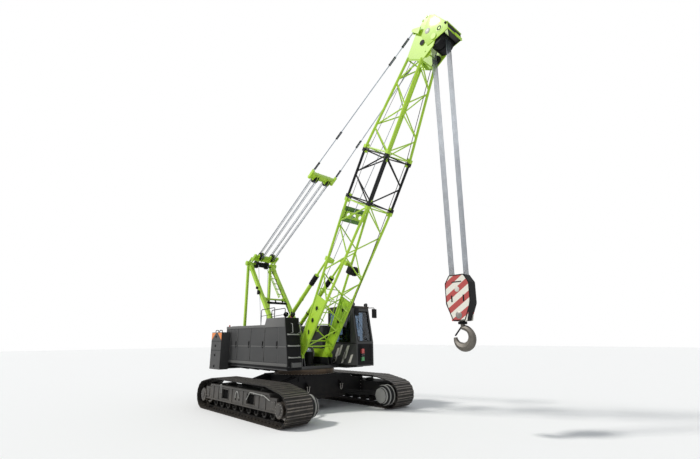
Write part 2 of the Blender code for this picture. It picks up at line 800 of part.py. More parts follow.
def upper_frame():
    deck_top = DECK_BOTTOM + DECK_THICKNESS
    half = DECK_WIDTH / 2
    recess_x, recess_y = CAB_REAR_X - CAB_SEAT, CAB_INNER_Y - CAB_SEAT
    plan = [
        (DECK_REAR_X, -half),
        (DECK_FRONT_X, -half),
        (DECK_FRONT_X, recess_y),
        (recess_x, recess_y),
        (recess_x, half),
        (DECK_REAR_X, half),
    ]
    shapes = [plate([plan], DECK_THICKNESS, Matrix.Translation((0, 0, (DECK_BOTTOM + deck_top) / 2)))]
    near, far = foot_lug_faces()
    for sign in (-1, 1):
        web = far + WEB_THICKNESS / 2
        outline = [
            (DECK_REAR_X + WEB_THICKNESS, deck_top - SINK),
            (DECK_FRONT_X - WEB_THICKNESS, deck_top - SINK),
            (DECK_FRONT_X - WEB_THICKNESS, FOOT_PIN_Z),
            (FOOT_PIN_X + FOOT_LUG_RADIUS, FOOT_PIN_Z + FOOT_LUG_RADIUS),
            (FOOT_PIN_X, WEB_TOP),
            (DECK_REAR_X + WEB_THICKNESS, WEB_TOP),
        ]
        shapes.append(side_plate([outline], sign * web, WEB_THICKNESS))
        ear = near - WEB_THICKNESS / 2
        ear_outline = [
            (FOOT_PIN_X - 2 * FOOT_LUG_RADIUS, deck_top - SINK),
            (FOOT_PIN_X + 2 * FOOT_LUG_RADIUS, deck_top - SINK),
        ]
        ear_outline += arc(FOOT_PIN_X, FOOT_PIN_Z, FOOT_LUG_RADIUS, 0, math.pi, ARC_STEPS)
        shapes.append(side_plate([ear_outline], sign * ear, WEB_THICKNESS))
        shapes.append(
            wheel(
                FOOT_PIN_X,
                FOOT_PIN_Z,
                sign * (near - WEB_THICKNESS / 2),
                sign * (far + WEB_THICKNESS / 2),
                FOOT_PIN_RADIUS,
                PIN_SIDES,
            )
        )
    for sign in (-1, 1):
        shapes += backstop_foot(sign)
    node("upper_frame", DECK, LIME, shapes)


def swing_reducer():
    deck_top = DECK_BOTTOM + DECK_THICKNESS
    node(
        "swing_reducer",
        DECK,
        GREY,
        [
            rod((SWING_X, 0, deck_top + SEAT_GAP), (SWING_X, 0, SWING_TOP), SWING_RADIUS, PIN_SIDES),
            rod(
                (SWING_X, 0, deck_top + SEAT_GAP),
                (SWING_X, 0, deck_top + SWING_RADIUS / 3),
                SWING_FLANGE_RADIUS,
                PIN_SIDES,
            ),
        ],
    )


def door_places():
    """(rear x, front x) of each door's opening."""
    places = []
    x = DOOR_FIRST_X
    for width in DOOR_WIDTHS:
        places.append((x + DOOR_PILLAR / 2, x + width - DOOR_PILLAR / 2))
        x += width
    return places


def house_outline(inset):
    """The side view of the machinery house, with the raised hump behind its front."""
    base = DECK_BOTTOM + DECK_THICKNESS + SEAT_GAP
    return [
        (HOUSE_REAR_X + inset, base + inset),
        (HOUSE_FRONT_X - inset, base + inset),
        (HUMP_FRONT_X - inset, HUMP_ROOF - inset),
        (HUMP_REAR_X + inset, HUMP_ROOF - inset),
        (HUMP_REAR_X - WEIGHT_CHAMFER + inset, HOUSE_ROOF - inset),
        (HOUSE_REAR_X + inset, HOUSE_ROOF - inset),
    ]


def house_right():
    width = HOUSE_SIDE_Y - HOUSE_INNER_Y
    middle = -(HOUSE_SIDE_Y + HOUSE_INNER_Y) / 2
    shell = side_plate([house_outline(0)], middle, width)
    hollow = side_plate([house_outline(HOUSE_WALL)], middle, width - 2 * HOUSE_WALL)
    cuts = [hollow]
    for rear, front in door_places():
        cuts.append(
            box(
                (rear, -HOUSE_SIDE_Y - OVERRUN, DOOR_BOTTOM),
                (front, -HOUSE_SIDE_Y + HOUSE_WALL + OVERRUN, DOOR_TOP),
            )
        )
    node("house_right", DECK, SLATE, [shell] + house_steps(), cuts)


def house_front(z):
    """Where the house's sloping front is at a height."""
    base = DECK_BOTTOM + DECK_THICKNESS + SEAT_GAP
    return HOUSE_FRONT_X + (HUMP_FRONT_X - HOUSE_FRONT_X) * (z - base) / (HUMP_ROOF - base)


def house_steps():
    """Round rungs on the house's front."""
    low, high = -HOUSE_SIDE_Y + STEP_INSET, -HOUSE_INNER_Y - STEP_INSET
    steps = []
    for index in range(STEP_COUNT):
        z = STEP_TOP - index * STEP_PITCH
        inside = house_front(z) - HOUSE_WALL / 2
        out = house_front(z) + STEP_REACH
        points = [(inside, low, z), (out, low, z), (out, high, z), (inside, high, z)]
        steps.append(pipe(points, STEP_RADIUS, ROPE_SIDES))
    return steps


def house_doors():
    """Each door turns on a rod at its rear edge, held between the sill and the header."""
    for index, (rear, front) in enumerate(door_places()):
        axis_x = rear + RUN_GAP + DOOR_HINGE_RADIUS
        axis_y = -HOUSE_SIDE_Y + DOOR_HINGE_RADIUS
        hinge = empty(f"door_hinge_{index + 1}", DECK, (axis_x, axis_y, DOOR_BOTTOM))
        height = DOOR_TOP - DOOR_BOTTOM
        length = front - RUN_GAP - axis_x
        panel = box(
            (0, -DOOR_HINGE_RADIUS, RUN_GAP),
            (length, -DOOR_HINGE_RADIUS + DOOR_THICKNESS, height - RUN_GAP),
        )
        spindle = rod((0, 0, BEARING_GAP), (0, 0, height - BEARING_GAP), DOOR_HINGE_RADIUS)
        handle_x = length - DOOR_HANDLE_INSET
        stand = DOOR_HANDLE_STAND
        low, high = (height - DOOR_HANDLE_LENGTH) / 2, (height + DOOR_HANDLE_LENGTH) / 2
        grip = pipe(
            [
                (handle_x, 0, low),
                (handle_x, -stand, low),
                (handle_x, -stand, high),
                (handle_x, 0, high),
            ],
            DOOR_HANDLE_RADIUS,
            ROPE_SIDES,
        )
        node(f"house_door_{index + 1}", hinge, SLATE, [panel, spindle, grip])


def engine():
    base = DECK_BOTTOM + DECK_THICKNESS + HOUSE_WALL + 2 * SEAT_GAP
    middle = -(HOUSE_SIDE_Y + HOUSE_INNER_Y) / 2
    node(
        "engine_block",
        DECK,
        DARK,
        [
            box(
                (ENGINE_X - ENGINE_LENGTH / 2, middle - ENGINE_WIDTH / 2, base),
                (ENGINE_X + ENGINE_LENGTH / 2, middle + ENGINE_WIDTH / 2, base + ENGINE_HEIGHT),
            )
        ],
    )


def house_left():
    base = DECK_BOTTOM + DECK_THICKNESS + SEAT_GAP
    front = CAB_REAR_X - RUN_GAP
    node(
        "house_left",
        DECK,
        SLATE,
        [box((HOUSE_REAR_X, HOUSE_INNER_Y, base), (front, HOUSE_SIDE_Y, HOUSE_ROOF))],
    )


def weight_outline(half):
    """The plan of a counterweight layer: a slab behind the houses with a wing on each side."""
    inner = HOUSE_REAR_X - SEAT_GAP
    wing = HOUSE_SIDE_Y + RUN_GAP
    return [
        (WEIGHT_REAR_X, 0),
        (inner, 0),
        (inner, wing),
        (WEIGHT_WING_X, wing),
        (WEIGHT_WING_X, half),
        (WEIGHT_REAR_X + WEIGHT_CHAMFER, half),
        (WEIGHT_REAR_X, half - WEIGHT_CHAMFER),
    ]


def counterweight():
    def layer(outline, low, high):
        return plate([outline], high - low, Matrix.Translation((0, 0, (low + high) / 2)))

    half_plan = weight_outline(WEIGHT_HALF_WIDTH)
    full_plan = half_plan[1:] + [(x, -y) for x, y in reversed(half_plan[1:])]
    node("counterweight_base", DECK, SLATE, [layer(full_plan, WEIGHT_BOTTOM, WEIGHT_SPLIT)])
    for side, sign in (("right", -1), ("left", 1)):
        plan = [(x, sign * (y if y else SEAT_GAP)) for x, y in half_plan]
        node(
            f"counterweight_block_{side}",
            DECK,
            SLATE,
            [layer(plan, WEIGHT_SPLIT + SEAT_GAP, WEIGHT_TOP)],
        )


def cab_outline(inset):
    return [
        (CAB_REAR_X + inset, CAB_BOTTOM + inset),
        (CAB_FRONT_X - inset, CAB_BOTTOM + inset),
        (CAB_FRONT_X - inset, CAB_SILL),
        (CAB_TOP_FRONT_X - inset, CAB_TOP - inset),
        (CAB_REAR_X + inset, CAB_TOP - inset),
    ]


def cab_mirror():
    """A mirror on an arm ahead of the cab's inner top corner."""
    y = CAB_INNER_Y + CAB_WALL / 2
    z = CAB_TOP - CAB_WALL / 2
    arm_end = CAB_TOP_FRONT_X + MIRROR_REACH
    back = arm_end - MIRROR_DEPTH / 2
    return [
        rod((CAB_TOP_FRONT_X - CAB_WALL, y, z), (arm_end, y, z), MIRROR_ARM_RADIUS),
        rod((arm_end, y, z + MIRROR_ARM_RADIUS / 2), (arm_end, y, z - MIRROR_HEIGHT / 2), MIRROR_ARM_RADIUS),
        box(
            (back, y - MIRROR_WIDTH / 2, z - MIRROR_HEIGHT - CAB_WALL),
            (back + MIRROR_DEPTH, y + MIRROR_WIDTH / 2, z - CAB_WALL),
        ),
    ]


def cab():
    middle = (CAB_INNER_Y + CAB_OUTER_Y) / 2
    width = CAB_OUTER_Y - CAB_INNER_Y
    shell = side_plate([cab_outline(0)], middle, width)
    hollow = side_plate([cab_outline(CAB_WALL)], middle, width - 2 * CAB_WALL)
    post = 2 * CAB_WALL
    windscreen = box(
        (CAB_TOP_FRONT_X - CAB_WALL, CAB_INNER_Y + post, CAB_SILL + CAB_WALL),
        (CAB_FRONT_X + OVERRUN, CAB_OUTER_Y - post, CAB_HEAD),
    )
    inner_window = box(
        (CAB_REAR_X + post, CAB_INNER_Y - OVERRUN, CAB_SILL),
        (CAB_TOP_FRONT_X - post, CAB_INNER_Y + CAB_WALL + OVERRUN, CAB_HEAD),
    )
    rear_window = box(
        (CAB_REAR_X - OVERRUN, CAB_INNER_Y + post, CAB_SILL),
        (CAB_REAR_X + CAB_WALL + OVERRUN, CAB_OUTER_Y - post, CAB_HEAD),
    )
    doorway = box(
        (CAB_DOOR_REAR_X, CAB_OUTER_Y - CAB_WALL - OVERRUN, CAB_DOOR_BOTTOM),
        (CAB_DOOR_FRONT_X, CAB_OUTER_Y + OVERRUN, CAB_DOOR_TOP),
    )
    rail_y = CAB_OUTER_Y + RUN_GAP + CAB_DOOR_THICKNESS
    rail = box(
        (CAB_REAR_X, CAB_OUTER_Y - SINK, CAB_DOOR_TOP + CAB_DOOR_FRAME + BEARING_GAP),
        (CAB_DOOR_FRONT_X + CAB_DOOR_FRAME, rail_y, CAB_DOOR_TOP + CAB_DOOR_FRAME + CAB_RAIL),
    )
    shapes = [shell, rail] + cab_mirror()
    node("cab_shell", DECK, SLATE, shapes, [hollow, windscreen, inner_window, rear_window, doorway])
    door_y = CAB_OUTER_Y + RUN_GAP
    frame = CAB_DOOR_FRAME
    panel = box(
        (CAB_DOOR_REAR_X - frame, door_y, CAB_DOOR_BOTTOM - frame),
        (CAB_DOOR_FRONT_X + frame, door_y + CAB_DOOR_THICKNESS, CAB_DOOR_TOP + frame),
    )
    glass = box(
        (CAB_DOOR_REAR_X, door_y - OVERRUN, CAB_SILL),
        (CAB_DOOR_FRONT_X, door_y + CAB_DOOR_THICKNESS + OVERRUN, CAB_HEAD),
    )
    node("cab_door", DECK, SLATE, [panel], [glass])
    floor = CAB_BOTTOM + CAB_WALL + SEAT_GAP
    seat_x = CAB_REAR_X + SEAT_WIDTH
    cushion = floor + SEAT_WIDTH
    node(
        "cab_seat",
        DECK,
        TRIM,
        [
            box(
                (seat_x, middle - SEAT_WIDTH / 2, floor),
                (seat_x + SEAT_WIDTH, middle + SEAT_WIDTH / 2, cushion),
            ),
            box(
                (seat_x - SEAT_WIDTH / 4, middle - SEAT_WIDTH / 2, cushion - SINK),
                (seat_x + SINK, middle + SEAT_WIDTH / 2, cushion + SEAT_BACK),
            ),
            box(
                (seat_x - SEAT_WIDTH / 4, middle - SEAT_WIDTH / 2, floor),
                (seat_x + SINK, middle + SEAT_WIDTH / 2, cushion),
            ),
        ],
    )
    node(
        "cab_mount",
        DECK,
        DARK,
        [
            box(
                (CAB_REAR_X - CAB_SEAT + SEAT_GAP, CAB_INNER_Y - CAB_SEAT + SEAT_GAP, DECK_BOTTOM),
                (CAB_DOOR_FRONT_X, CAB_OUTER_Y - CAB_WALL, CAB_BOTTOM - SEAT_GAP),
            )
        ],
    )


def drums():
    places = {"main_drum": MAIN_DRUM_X, "auxiliary_drum": AUX_DRUM_X, "luffing_drum": LUFF_DRUM_X}
    for name, x in places.items():
        axis = empty(f"{name}_axis", DECK, (x, 0, DRUM_Z))
        web = foot_lug_faces()[1]
        shapes = [wheel(0, 0, -DRUM_HALF_LENGTH, DRUM_HALF_LENGTH, DRUM_RADIUS)]
        for sign in (-1, 1):
            y = sign * DRUM_HALF_LENGTH
            shapes.append(wheel(0, 0, y - sign * DRUM_FLANGE, y, DRUM_FLANGE_RADIUS))
            shapes.append(wheel(0, 0, y - sign * SINK, sign * (web - BEARING_GAP), AXLE_RADIUS, PIN_SIDES))
        node(name, axis, GREY, shapes)


# Gantry


def ends_in_both(side_point):
    """The same (x, z) on the right and on the left gantry leg."""
    x, z = side_point
    return (x, -GANTRY_HALF, z), (x, GANTRY_HALF, z)


def between(start, end, share):
    return tuple(a + (b - a) * share for a, b in zip(start, end))


def gantry_ladder(foot, top):
    """Rungs between the left leg and a bar beside it."""

    def at(share, y):
        x, z = between(foot, top, share)
        return x, y, z

    inner = GANTRY_HALF - LADDER_WIDTH
    low, high = LADDER_SHARES
    shapes = [rod(at(low, inner), at(high, inner), LADDER_RADIUS, LACING_SIDES)]
    pitch = (high - low) / LADDER_RUNG_COUNT
    for index in range(LADDER_RUNG_COUNT):
        share = low + (index + 1 / 2) * pitch
        shapes.append(rod(at(share, GANTRY_HALF), at(share, inner - SINK), LADDER_RADIUS, LACING_SIDES))
    return shapes


def gantry():
    foot, top = (GANTRY_FOOT_X, GANTRY_FOOT_Z), (GANTRY_TOP_X, GANTRY_TOP_Z)
    shapes = []
    leg = GANTRY_LEG
    for start, end in zip(ends_in_both(foot), ends_in_both(top)):
        shapes.append(bar(start, end, leg, leg))
        x, y, z = start
        web = math.copysign(foot_lug_faces()[1] + WEB_THICKNESS, y)
        low_y, high_y = sorted((y - math.copysign(leg / 2 + SINK, y), web))
        shapes.append(box((x - leg, low_y, WEB_TOP + SEAT_GAP), (x + leg, high_y, z + leg)))
    for share in GANTRY_CROSS_SHARES:
        shapes.append(bar(*ends_in_both(between(foot, top, share)), leg / 2, leg / 2))
    inner = GANTRY_BEAM_HALF - GANTRY_BOSS_LENGTH
    for sign in (-1, 1):
        ends = (sign * inner, sign * GANTRY_BEAM_HALF)
        shapes.append(wheel(*top, *ends, GANTRY_BOSS_RADIUS, BOSS_SIDES))
    shapes.append(wheel(*top, -inner - SINK, inner + SINK, GANTRY_AXLE_RADIUS, PIN_SIDES))
    shapes += gantry_ladder(foot, top)
    node("gantry_mast", DECK, LIME, shapes)
    half = GANTRY_BOSS_RADIUS
    link_x = top[0] - half - GANTRY_LINK / 2 - SEAT_GAP
    for side, sign in (("right", -1), ("left", 1)):
        y = sign * GANTRY_HALF
        wide = GANTRY_LINK / 2
        outer = sign * (foot_lug_faces()[1] + WEB_THICKNESS)
        low_y, high_y = sorted((y - sign * (wide + SINK), outer))
        node(
            f"gantry_link_{side}",
            DECK,
            LIME,
            [
                box((link_x - wide, y - wide, WEB_TOP + SEAT_GAP), (link_x + wide, y + wide, top[1] + wide)),
                box(
                    (link_x - 3 * wide / 2, low_y, WEB_TOP + SEAT_GAP),
                    (link_x + 3 * wide / 2, high_y, WEB_TOP + GANTRY_LINK),
                ),
            ],
        )
    sheaves = []
    bore = hole_radius(GANTRY_AXLE_RADIUS)
    thick = HEAD_SHEAVE_THICKNESS
    for y in (-GANTRY_SHEAVE_Y, GANTRY_SHEAVE_Y):
        sheaves.append(
            side_plate([circle(*top, GANTRY_SHEAVE_RADIUS, WHEEL_SIDES), circle(*top, bore)], y, 2 * thick)
        )
    spacer = [circle(*top, bore + thick), circle(*top, bore)]
    sheaves.append(side_plate(spacer, 0, 2 * GANTRY_SHEAVE_Y - 2 * thick + 2 * SINK))
    node("gantry_sheaves", DECK, GREY, sheaves)


# Boom, in its own frame: X runs from the foot pins to the head, Z is the rear face's normal


def section_size(along):
    """(half width, half depth) of the lattice between the chords' middles."""
    if along <= FOOT_SECTION:
        share = along / FOOT_SECTION
        start, end = (FOOT_WIDTH, FOOT_DEPTH), (BOOM_WIDTH, BOOM_DEPTH)
    elif along <= FOOT_SECTION + INSERT_SECTION:
        return BOOM_WIDTH / 2, BOOM_DEPTH / 2
    else:
        share = (along - FOOT_SECTION - INSERT_SECTION) / (TIP_LATTICE_END - FOOT_SECTION - INSERT_SECTION)
        start, end = (BOOM_WIDTH, BOOM_DEPTH), (TIP_WIDTH, TIP_DEPTH)
    width, depth = between(start, end, share)
    return width / 2, depth / 2


CORNERS = ((-1, 1), (1, 1), (1, -1), (-1, -1))  # right rear, left rear, left front, right front


def corner(along, index):
    half_width, half_depth = section_size(along)
    side, face = CORNERS[index % 4]
    return (along, side * half_width, face * half_depth)


def connector(along, index, heading):
    """The block on a chord's end whose face meets the next section's; `heading` points to its chord."""
    x, y, z = corner(along, index)
    low_x, high_x = sorted((x, x + heading * CONNECTOR_LENGTH))
    return box((low_x, y - CONNECTOR, z - CONNECTOR), (high_x, y + CONNECTOR, z + CONNECTOR))


def lattice(start, end, bays, joints):
    """Four chords with a zigzag of lacings on each face, and connectors at the ends that join."""
    heading = {start: 1, end: -1}
    shapes = [connector(along, index, heading[along]) for along in joints for index in range(4)]
    low, high = [along + heading[along] * SINK if along in joints else along for along in (start, end)]
    shapes += [rod(corner(low, index), corner(high, index), CHORD_RADIUS) for index in range(4)]
    pitch = (end - start) / bays
    for face in range(4):
        inset = CONNECTOR_LENGTH * LACING_SHARES[face % 2]
        turn = LACING_TURN * (face + 1)
        for bay in range(bays):
            low = start + bay * pitch + inset
            high = start + (bay + 1) * pitch - inset
            near, far = (face, face + 1) if (bay + face) % 2 else (face + 1, face)
            lacing = rod(corner(low, near), corner(high, far), LACING_RADIUS, LACING_SIDES, turn)
            shapes.append(lacing)
        for along in (start + inset, end - inset):
            ends = (corner(along, face), corner(along, face + 1))
            shapes.append(rod(*ends, LACING_RADIUS, TUBE_SIDES, turn))
    return shapes


def boom_foot():
    end = FOOT_SECTION - SEAT_GAP / 2
    shapes = lattice(FOOT_PLATE_START, end, FOOT_BAY_COUNT, (end,))
    hole = hole_radius(FOOT_PIN_RADIUS)
    for sign in (-1, 1):
        top = FOOT_PLATE_END
        outline = arc(0, 0, FOOT_LUG_RADIUS, math.pi * 2 / 3, math.pi * 4 / 3, ARC_STEPS)
        for along, face in ((FOOT_PLATE_START, -1), (FOOT_PLATE_START, 1)):
            outline.append((along, face * (section_size(along)[1] + CHORD_RADIUS)))
        lug = side_plate([outline, circle(0, 0, hole)], sign * FOOT_LUG_Y, FOOT_LUG_THICKNESS)
        shapes.append(lug)
        low, high = FOOT_PLATE_START - SINK, FOOT_PLATE_END
        low_half, high_half = section_size(low)[1], section_size(high)[1]
        web = [(low, -low_half), (high, -high_half), (high, high_half), (low, low_half)]
        web_y = sign * (section_size((low + high) / 2)[0])
        holes = [
            circle(FOOT_HOLE_START + index * FOOT_HOLE_PITCH, 0, FOOT_HOLE_RADIUS)
            for index in range(FOOT_HOLE_COUNT)
        ]
        shapes.append(side_plate([web] + holes, web_y, FOOT_PLATE_THICKNESS))
        shapes += backstop_head(sign)
    shapes += rest_plate() + cable_reel()
    node("boom_foot", BOOM, LIME, shapes)


def rest_plate():
    """A plate with holes across the boom's rear face, and the lug in its middle."""
    half_width, half_depth = section_size(REST_PLATE_S)
    low, high = REST_PLATE_S - REST_PLATE_LENGTH / 2, REST_PLATE_S + REST_PLATE_LENGTH / 2
    pitch = 2 * half_width / (REST_HOLE_COUNT + 1)
    outlines = [rectangle(low, -half_width, high, half_width)]
    for index in range(REST_HOLE_COUNT):
        outlines.append(circle(REST_PLATE_S, (index + 1) * pitch - half_width, REST_HOLE_RADIUS))
    across = plate(outlines, FOOT_PLATE_THICKNESS, Matrix.Translation((0, 0, half_depth)))
    edge = low + REST_LUG_WIDTH / 2
    top = half_depth + REST_LUG_HEIGHT - REST_LUG_WIDTH / 2
    lug = [(edge - REST_LUG_WIDTH / 2, half_depth), (edge + REST_LUG_WIDTH / 2, half_depth)]
    lug += arc(edge, top, REST_LUG_WIDTH / 2, 0, math.pi, ARC_STEPS)
    return [across, side_plate([lug], pitch / 2, FOOT_PLATE_THICKNESS)]


def cable_reel():
    """The electric cable's reel on a bar between the left side's chords."""
    half_width = section_size(REEL_S)[0]
    holder = rod(corner(REEL_S, 1), corner(REEL_S, 2), LACING_RADIUS, TUBE_SIDES)
    return [holder, wheel(REEL_S, REEL_T, half_width + SINK, half_width + SINK + REEL_WIDTH, REEL_RADIUS)]


def boom_insert():
    start = FOOT_SECTION + SEAT_GAP / 2
    end = FOOT_SECTION + INSERT_SECTION - SEAT_GAP / 2
    node("boom_insert", BOOM, DARK, lattice(start, end, INSERT_BAY_COUNT, (start, end)))


def boom_tip():
    start = FOOT_SECTION + INSERT_SECTION + SEAT_GAP / 2
    shapes = lattice(start, TIP_LATTICE_END, TIP_BAY_COUNT, (start,))
    for sign in (-1, 1):
        y = sign * (TIP_WIDTH / 2)
        lattice_end = TIP_LATTICE_END - 2 * CHORD_RADIUS
        half = TIP_DEPTH / 2 + CHORD_RADIUS
        outline = [
            (lattice_end, -half),
            (HEAD_AXLE_S - HEAD_SHEAVE_RADIUS, HEAD_AXLE_T - 2 * HEAD_AXLE_RADIUS),
            (HEAD_AXLE_S + 2 * HEAD_AXLE_RADIUS, HEAD_AXLE_T - 2 * HEAD_AXLE_RADIUS),
            (HEAD_END, -half / 2),
            (HEAD_END, half / 2),
            (PENDANT_PIN_S, half),
            (lattice_end, half),
        ]
        shapes.append(side_plate([outline], y, HEAD_PLATE_THICKNESS))
    reach = TIP_WIDTH / 2 + HEAD_PLATE_THICKNESS
    shapes.append(wheel(HEAD_AXLE_S, HEAD_AXLE_T, -reach, reach, HEAD_AXLE_RADIUS, PIN_SIDES))
    shapes.append(wheel(GUIDE_S, GUIDE_T, -reach, reach, HEAD_AXLE_RADIUS / 2, TUBE_SIDES))
    shapes.append(wheel(HEAD_END - CHORD_RADIUS, TIP_DEPTH / 4, -reach, reach, CHORD_RADIUS, TUBE_SIDES))
    half_guide = GUIDE_WIDTH / 2
    shapes.append(wheel(GUIDE_S, GUIDE_T, GUIDE_Y - half_guide, GUIDE_Y + half_guide, GUIDE_RADIUS))
    for sign in (-1, 1):
        side = sign * TIP_WIDTH / 2
        boss_end = side + sign * (HEAD_PLATE_THICKNESS / 2 + HEAD_BOSS_LENGTH)
        shapes.append(wheel(HEAD_AXLE_S, HEAD_AXLE_T, side, boss_end, HEAD_BOSS_RADIUS))
        shapes += pendant_anchor(sign)
    across = PENDANT_PIN_Y + PENDANT_RADIUS + RUN_GAP + HEAD_PLATE_THICKNESS / 2
    shapes.append(
        box(
            (PENDANT_PIN_S - PENDANT_RADIUS, -across, TIP_DEPTH / 4),
            (PENDANT_PIN_S + PENDANT_RADIUS, across, TIP_DEPTH / 4 + HEAD_PLATE_THICKNESS),
        )
    )
    node("boom_tip", BOOM, LIME, shapes)


def pendant_anchor(sign):
    """Two ears and the pin between them, which a pendant's end turns on."""
    inner = PENDANT_PIN_Y - PENDANT_RADIUS - RUN_GAP
    outer = PENDANT_PIN_Y + PENDANT_RADIUS + RUN_GAP
    ears = []
    size = PENDANT_ANCHOR_RADIUS
    for y in (inner - HEAD_PLATE_THICKNESS / 2, outer + HEAD_PLATE_THICKNESS / 2):
        base = TIP_DEPTH / 4 + SINK
        outline = [(PENDANT_PIN_S - 2 * size, base), (PENDANT_PIN_S + 2 * size, base)]
        outline += arc(PENDANT_PIN_S, PENDANT_PIN_T, size, 0, math.pi, ARC_STEPS)
        ears.append(side_plate([outline], sign * y, HEAD_PLATE_THICKNESS))
    pin_end = outer + HEAD_PLATE_THICKNESS / 2
    ears.append(
        wheel(
            PENDANT_PIN_S,
            PENDANT_PIN_T,
            sign * (inner - HEAD_PLATE_THICKNESS / 2),
            sign * pin_end,
            PENDANT_RADIUS,
            PIN_SIDES,
        )
    )
    return ears


def head_sheaves():
    bore = hole_radius(HEAD_AXLE_RADIUS, WHEEL_SIDES)
    spread = TIP_WIDTH / 2 - HEAD_PLATE_THICKNESS / 2 - RUN_GAP
    thick = HEAD_SHEAVE_THICKNESS / 2
    profile = [
        (HEAD_SHEAVE_RADIUS, spread),
        (HEAD_SHEAVE_RADIUS, thick),
        (HEAD_SHEAVE_RADIUS - thick, thick),
        (HEAD_SHEAVE_RADIUS - thick, -thick),
        (HEAD_SHEAVE_RADIUS, -thick),
        (HEAD_SHEAVE_RADIUS, -spread),
        (bore, -spread),
        (bore, spread),
    ]
    node("head_sheaves", BOOM, GREY, [turned(profile, along_y(HEAD_AXLE_S, 0, HEAD_AXLE_T))])


# Backstops


def backstop_line():
    """The rest places of a backstop's foot and head, and the slope between them."""
    foot = (BACKSTOP_FOOT_X, BACKSTOP_FOOT_Z)
    head = on_boom(BACKSTOP_HEAD_S, BACKSTOP_HEAD_T)
    length = math.hypot(head[0] - foot[0], head[1] - foot[1])
    return foot, head, length, math.atan2(head[1] - foot[1], head[0] - foot[0])


def backstop_foot(sign):
    """A post on the frame with two ears and the pin that the barrel turns on."""
    inner = BACKSTOP_Y - BACKSTOP_BARREL_RADIUS - RUN_GAP
    outer = BACKSTOP_Y + BACKSTOP_BARREL_RADIUS + RUN_GAP
    size = BACKSTOP_EYE_RADIUS
    shapes = []
    for y in (inner - WEB_THICKNESS / 2, outer + WEB_THICKNESS / 2):
        base = WEB_TOP - 2 * SINK
        outline = [(BACKSTOP_FOOT_X - 2 * size, base), (BACKSTOP_FOOT_X + 2 * size, base)]
        outline += arc(BACKSTOP_FOOT_X, BACKSTOP_FOOT_Z, size, 0, math.pi, ARC_STEPS)
        shapes.append(side_plate([outline], sign * y, WEB_THICKNESS))
    shapes.append(
        wheel(
            BACKSTOP_FOOT_X,
            BACKSTOP_FOOT_Z,
            sign * (inner - WEB_THICKNESS / 2),
            sign * (outer + WEB_THICKNESS / 2),
            BACKSTOP_PIN_RADIUS,
            PIN_SIDES,
        )
    )
    web = foot_lug_faces()[1]
    low_y, high_y = sorted((sign * (inner - WEB_THICKNESS - SINK), sign * (web + SINK)))
    shapes.append(
        box(
            (BACKSTOP_FOOT_X - 3 * size, low_y, WEB_TOP - 2 * WEB_THICKNESS),
            (BACKSTOP_FOOT_X + 3 * size, high_y, WEB_TOP - SINK),
        )
    )
    return shapes


def backstop_head(sign):
    """Two cheeks on the boom between which the rod's eye lies; its pin stays on the eye."""
    gap = BACKSTOP_EYE_WIDTH / 2 + RUN_GAP
    cheeks = []
    base = section_size(BACKSTOP_HEAD_S)[1]
    size = BACKSTOP_EYE_RADIUS
    for y in (BACKSTOP_Y - gap - WEB_THICKNESS / 2, BACKSTOP_Y + gap + WEB_THICKNESS / 2):
        outline = [
            (BACKSTOP_HEAD_S - size, base - CHORD_RADIUS / 2),
            (BACKSTOP_HEAD_S + size, base - CHORD_RADIUS / 2),
            (BACKSTOP_HEAD_S + size, BACKSTOP_HEAD_T + size),
            (BACKSTOP_HEAD_S - size, BACKSTOP_HEAD_T + size),
        ]
        cheeks.append(side_plate([outline], sign * y, WEB_THICKNESS))
    chord_y = section_size(BACKSTOP_HEAD_S)[0]
    inner = BACKSTOP_Y - gap - WEB_THICKNESS
    low_y, high_y = sorted((sign * inner, sign * chord_y))
    cheeks.append(
        box(
            (BACKSTOP_HEAD_S - size, low_y, base - CHORD_RADIUS / 2),
            (BACKSTOP_HEAD_S + size, high_y, base + CHORD_RADIUS / 2),
        )
    )
    return cheeks


def backstops():
    foot, head, length, slope = backstop_line()
    for side, sign in (("right", -1), ("left", 1)):
        y = sign * BACKSTOP_Y
        barrel = empty(f"backstop_hinge_{side}", DECK, (foot[0], y, foot[1]), slope)
        wide = BACKSTOP_EYE_WIDTH / 2
        hole = hole_radius(BACKSTOP_PIN_RADIUS)
        radius = BACKSTOP_BARREL_RADIUS
        start = BACKSTOP_EYE_RADIUS + 2 * radius
        tube_shape = rod((start, 0, 0), (BACKSTOP_BARREL_LENGTH, 0, 0), radius, PIN_SIDES)
        eye = side_plate([circle(0, 0, BACKSTOP_EYE_RADIUS), circle(0, 0, hole)], 0, 2 * wide)
        neck = box((BACKSTOP_EYE_RADIUS - SINK, -wide, -wide), (start + SINK, wide, wide))
        end = BACKSTOP_BARREL_LENGTH
        sleeve_start = end - BACKSTOP_SLEEVE_LENGTH
        sleeve = rod((sleeve_start, 0, 0), (end + SINK, 0, 0), BACKSTOP_SLEEVE_RADIUS, PIN_SIDES)
        bore = hole_radius(BACKSTOP_ROD_RADIUS)
        inside = rod((start + radius, 0, 0), (end + OVERRUN, 0, 0), bore, PIN_SIDES)
        node(f"backstop_barrel_{side}", barrel, LIME, [tube_shape, sleeve, neck, eye], [inside])
        rod_start = start + radius + radius + BACKSTOP_STROKE_IN
        rod_end = length - BACKSTOP_EYE_RADIUS / 2
        ram = rod((rod_start, 0, 0), (rod_end, 0, 0), BACKSTOP_ROD_RADIUS, PIN_SIDES)
        rod_eye = side_plate([circle(length, 0, BACKSTOP_EYE_RADIUS)], 0, 2 * wide)
        node(f"backstop_rod_{side}", barrel, LIME, [ram, rod_eye])


# Luffing suspension, in its own frame: X runs up the line from the gantry to the head


def suspension_slope():
    pin = on_boom(PENDANT_PIN_S, PENDANT_PIN_T)
    return math.atan2(pin[1] - GANTRY_TOP_Z, pin[0] - GANTRY_TOP_X)


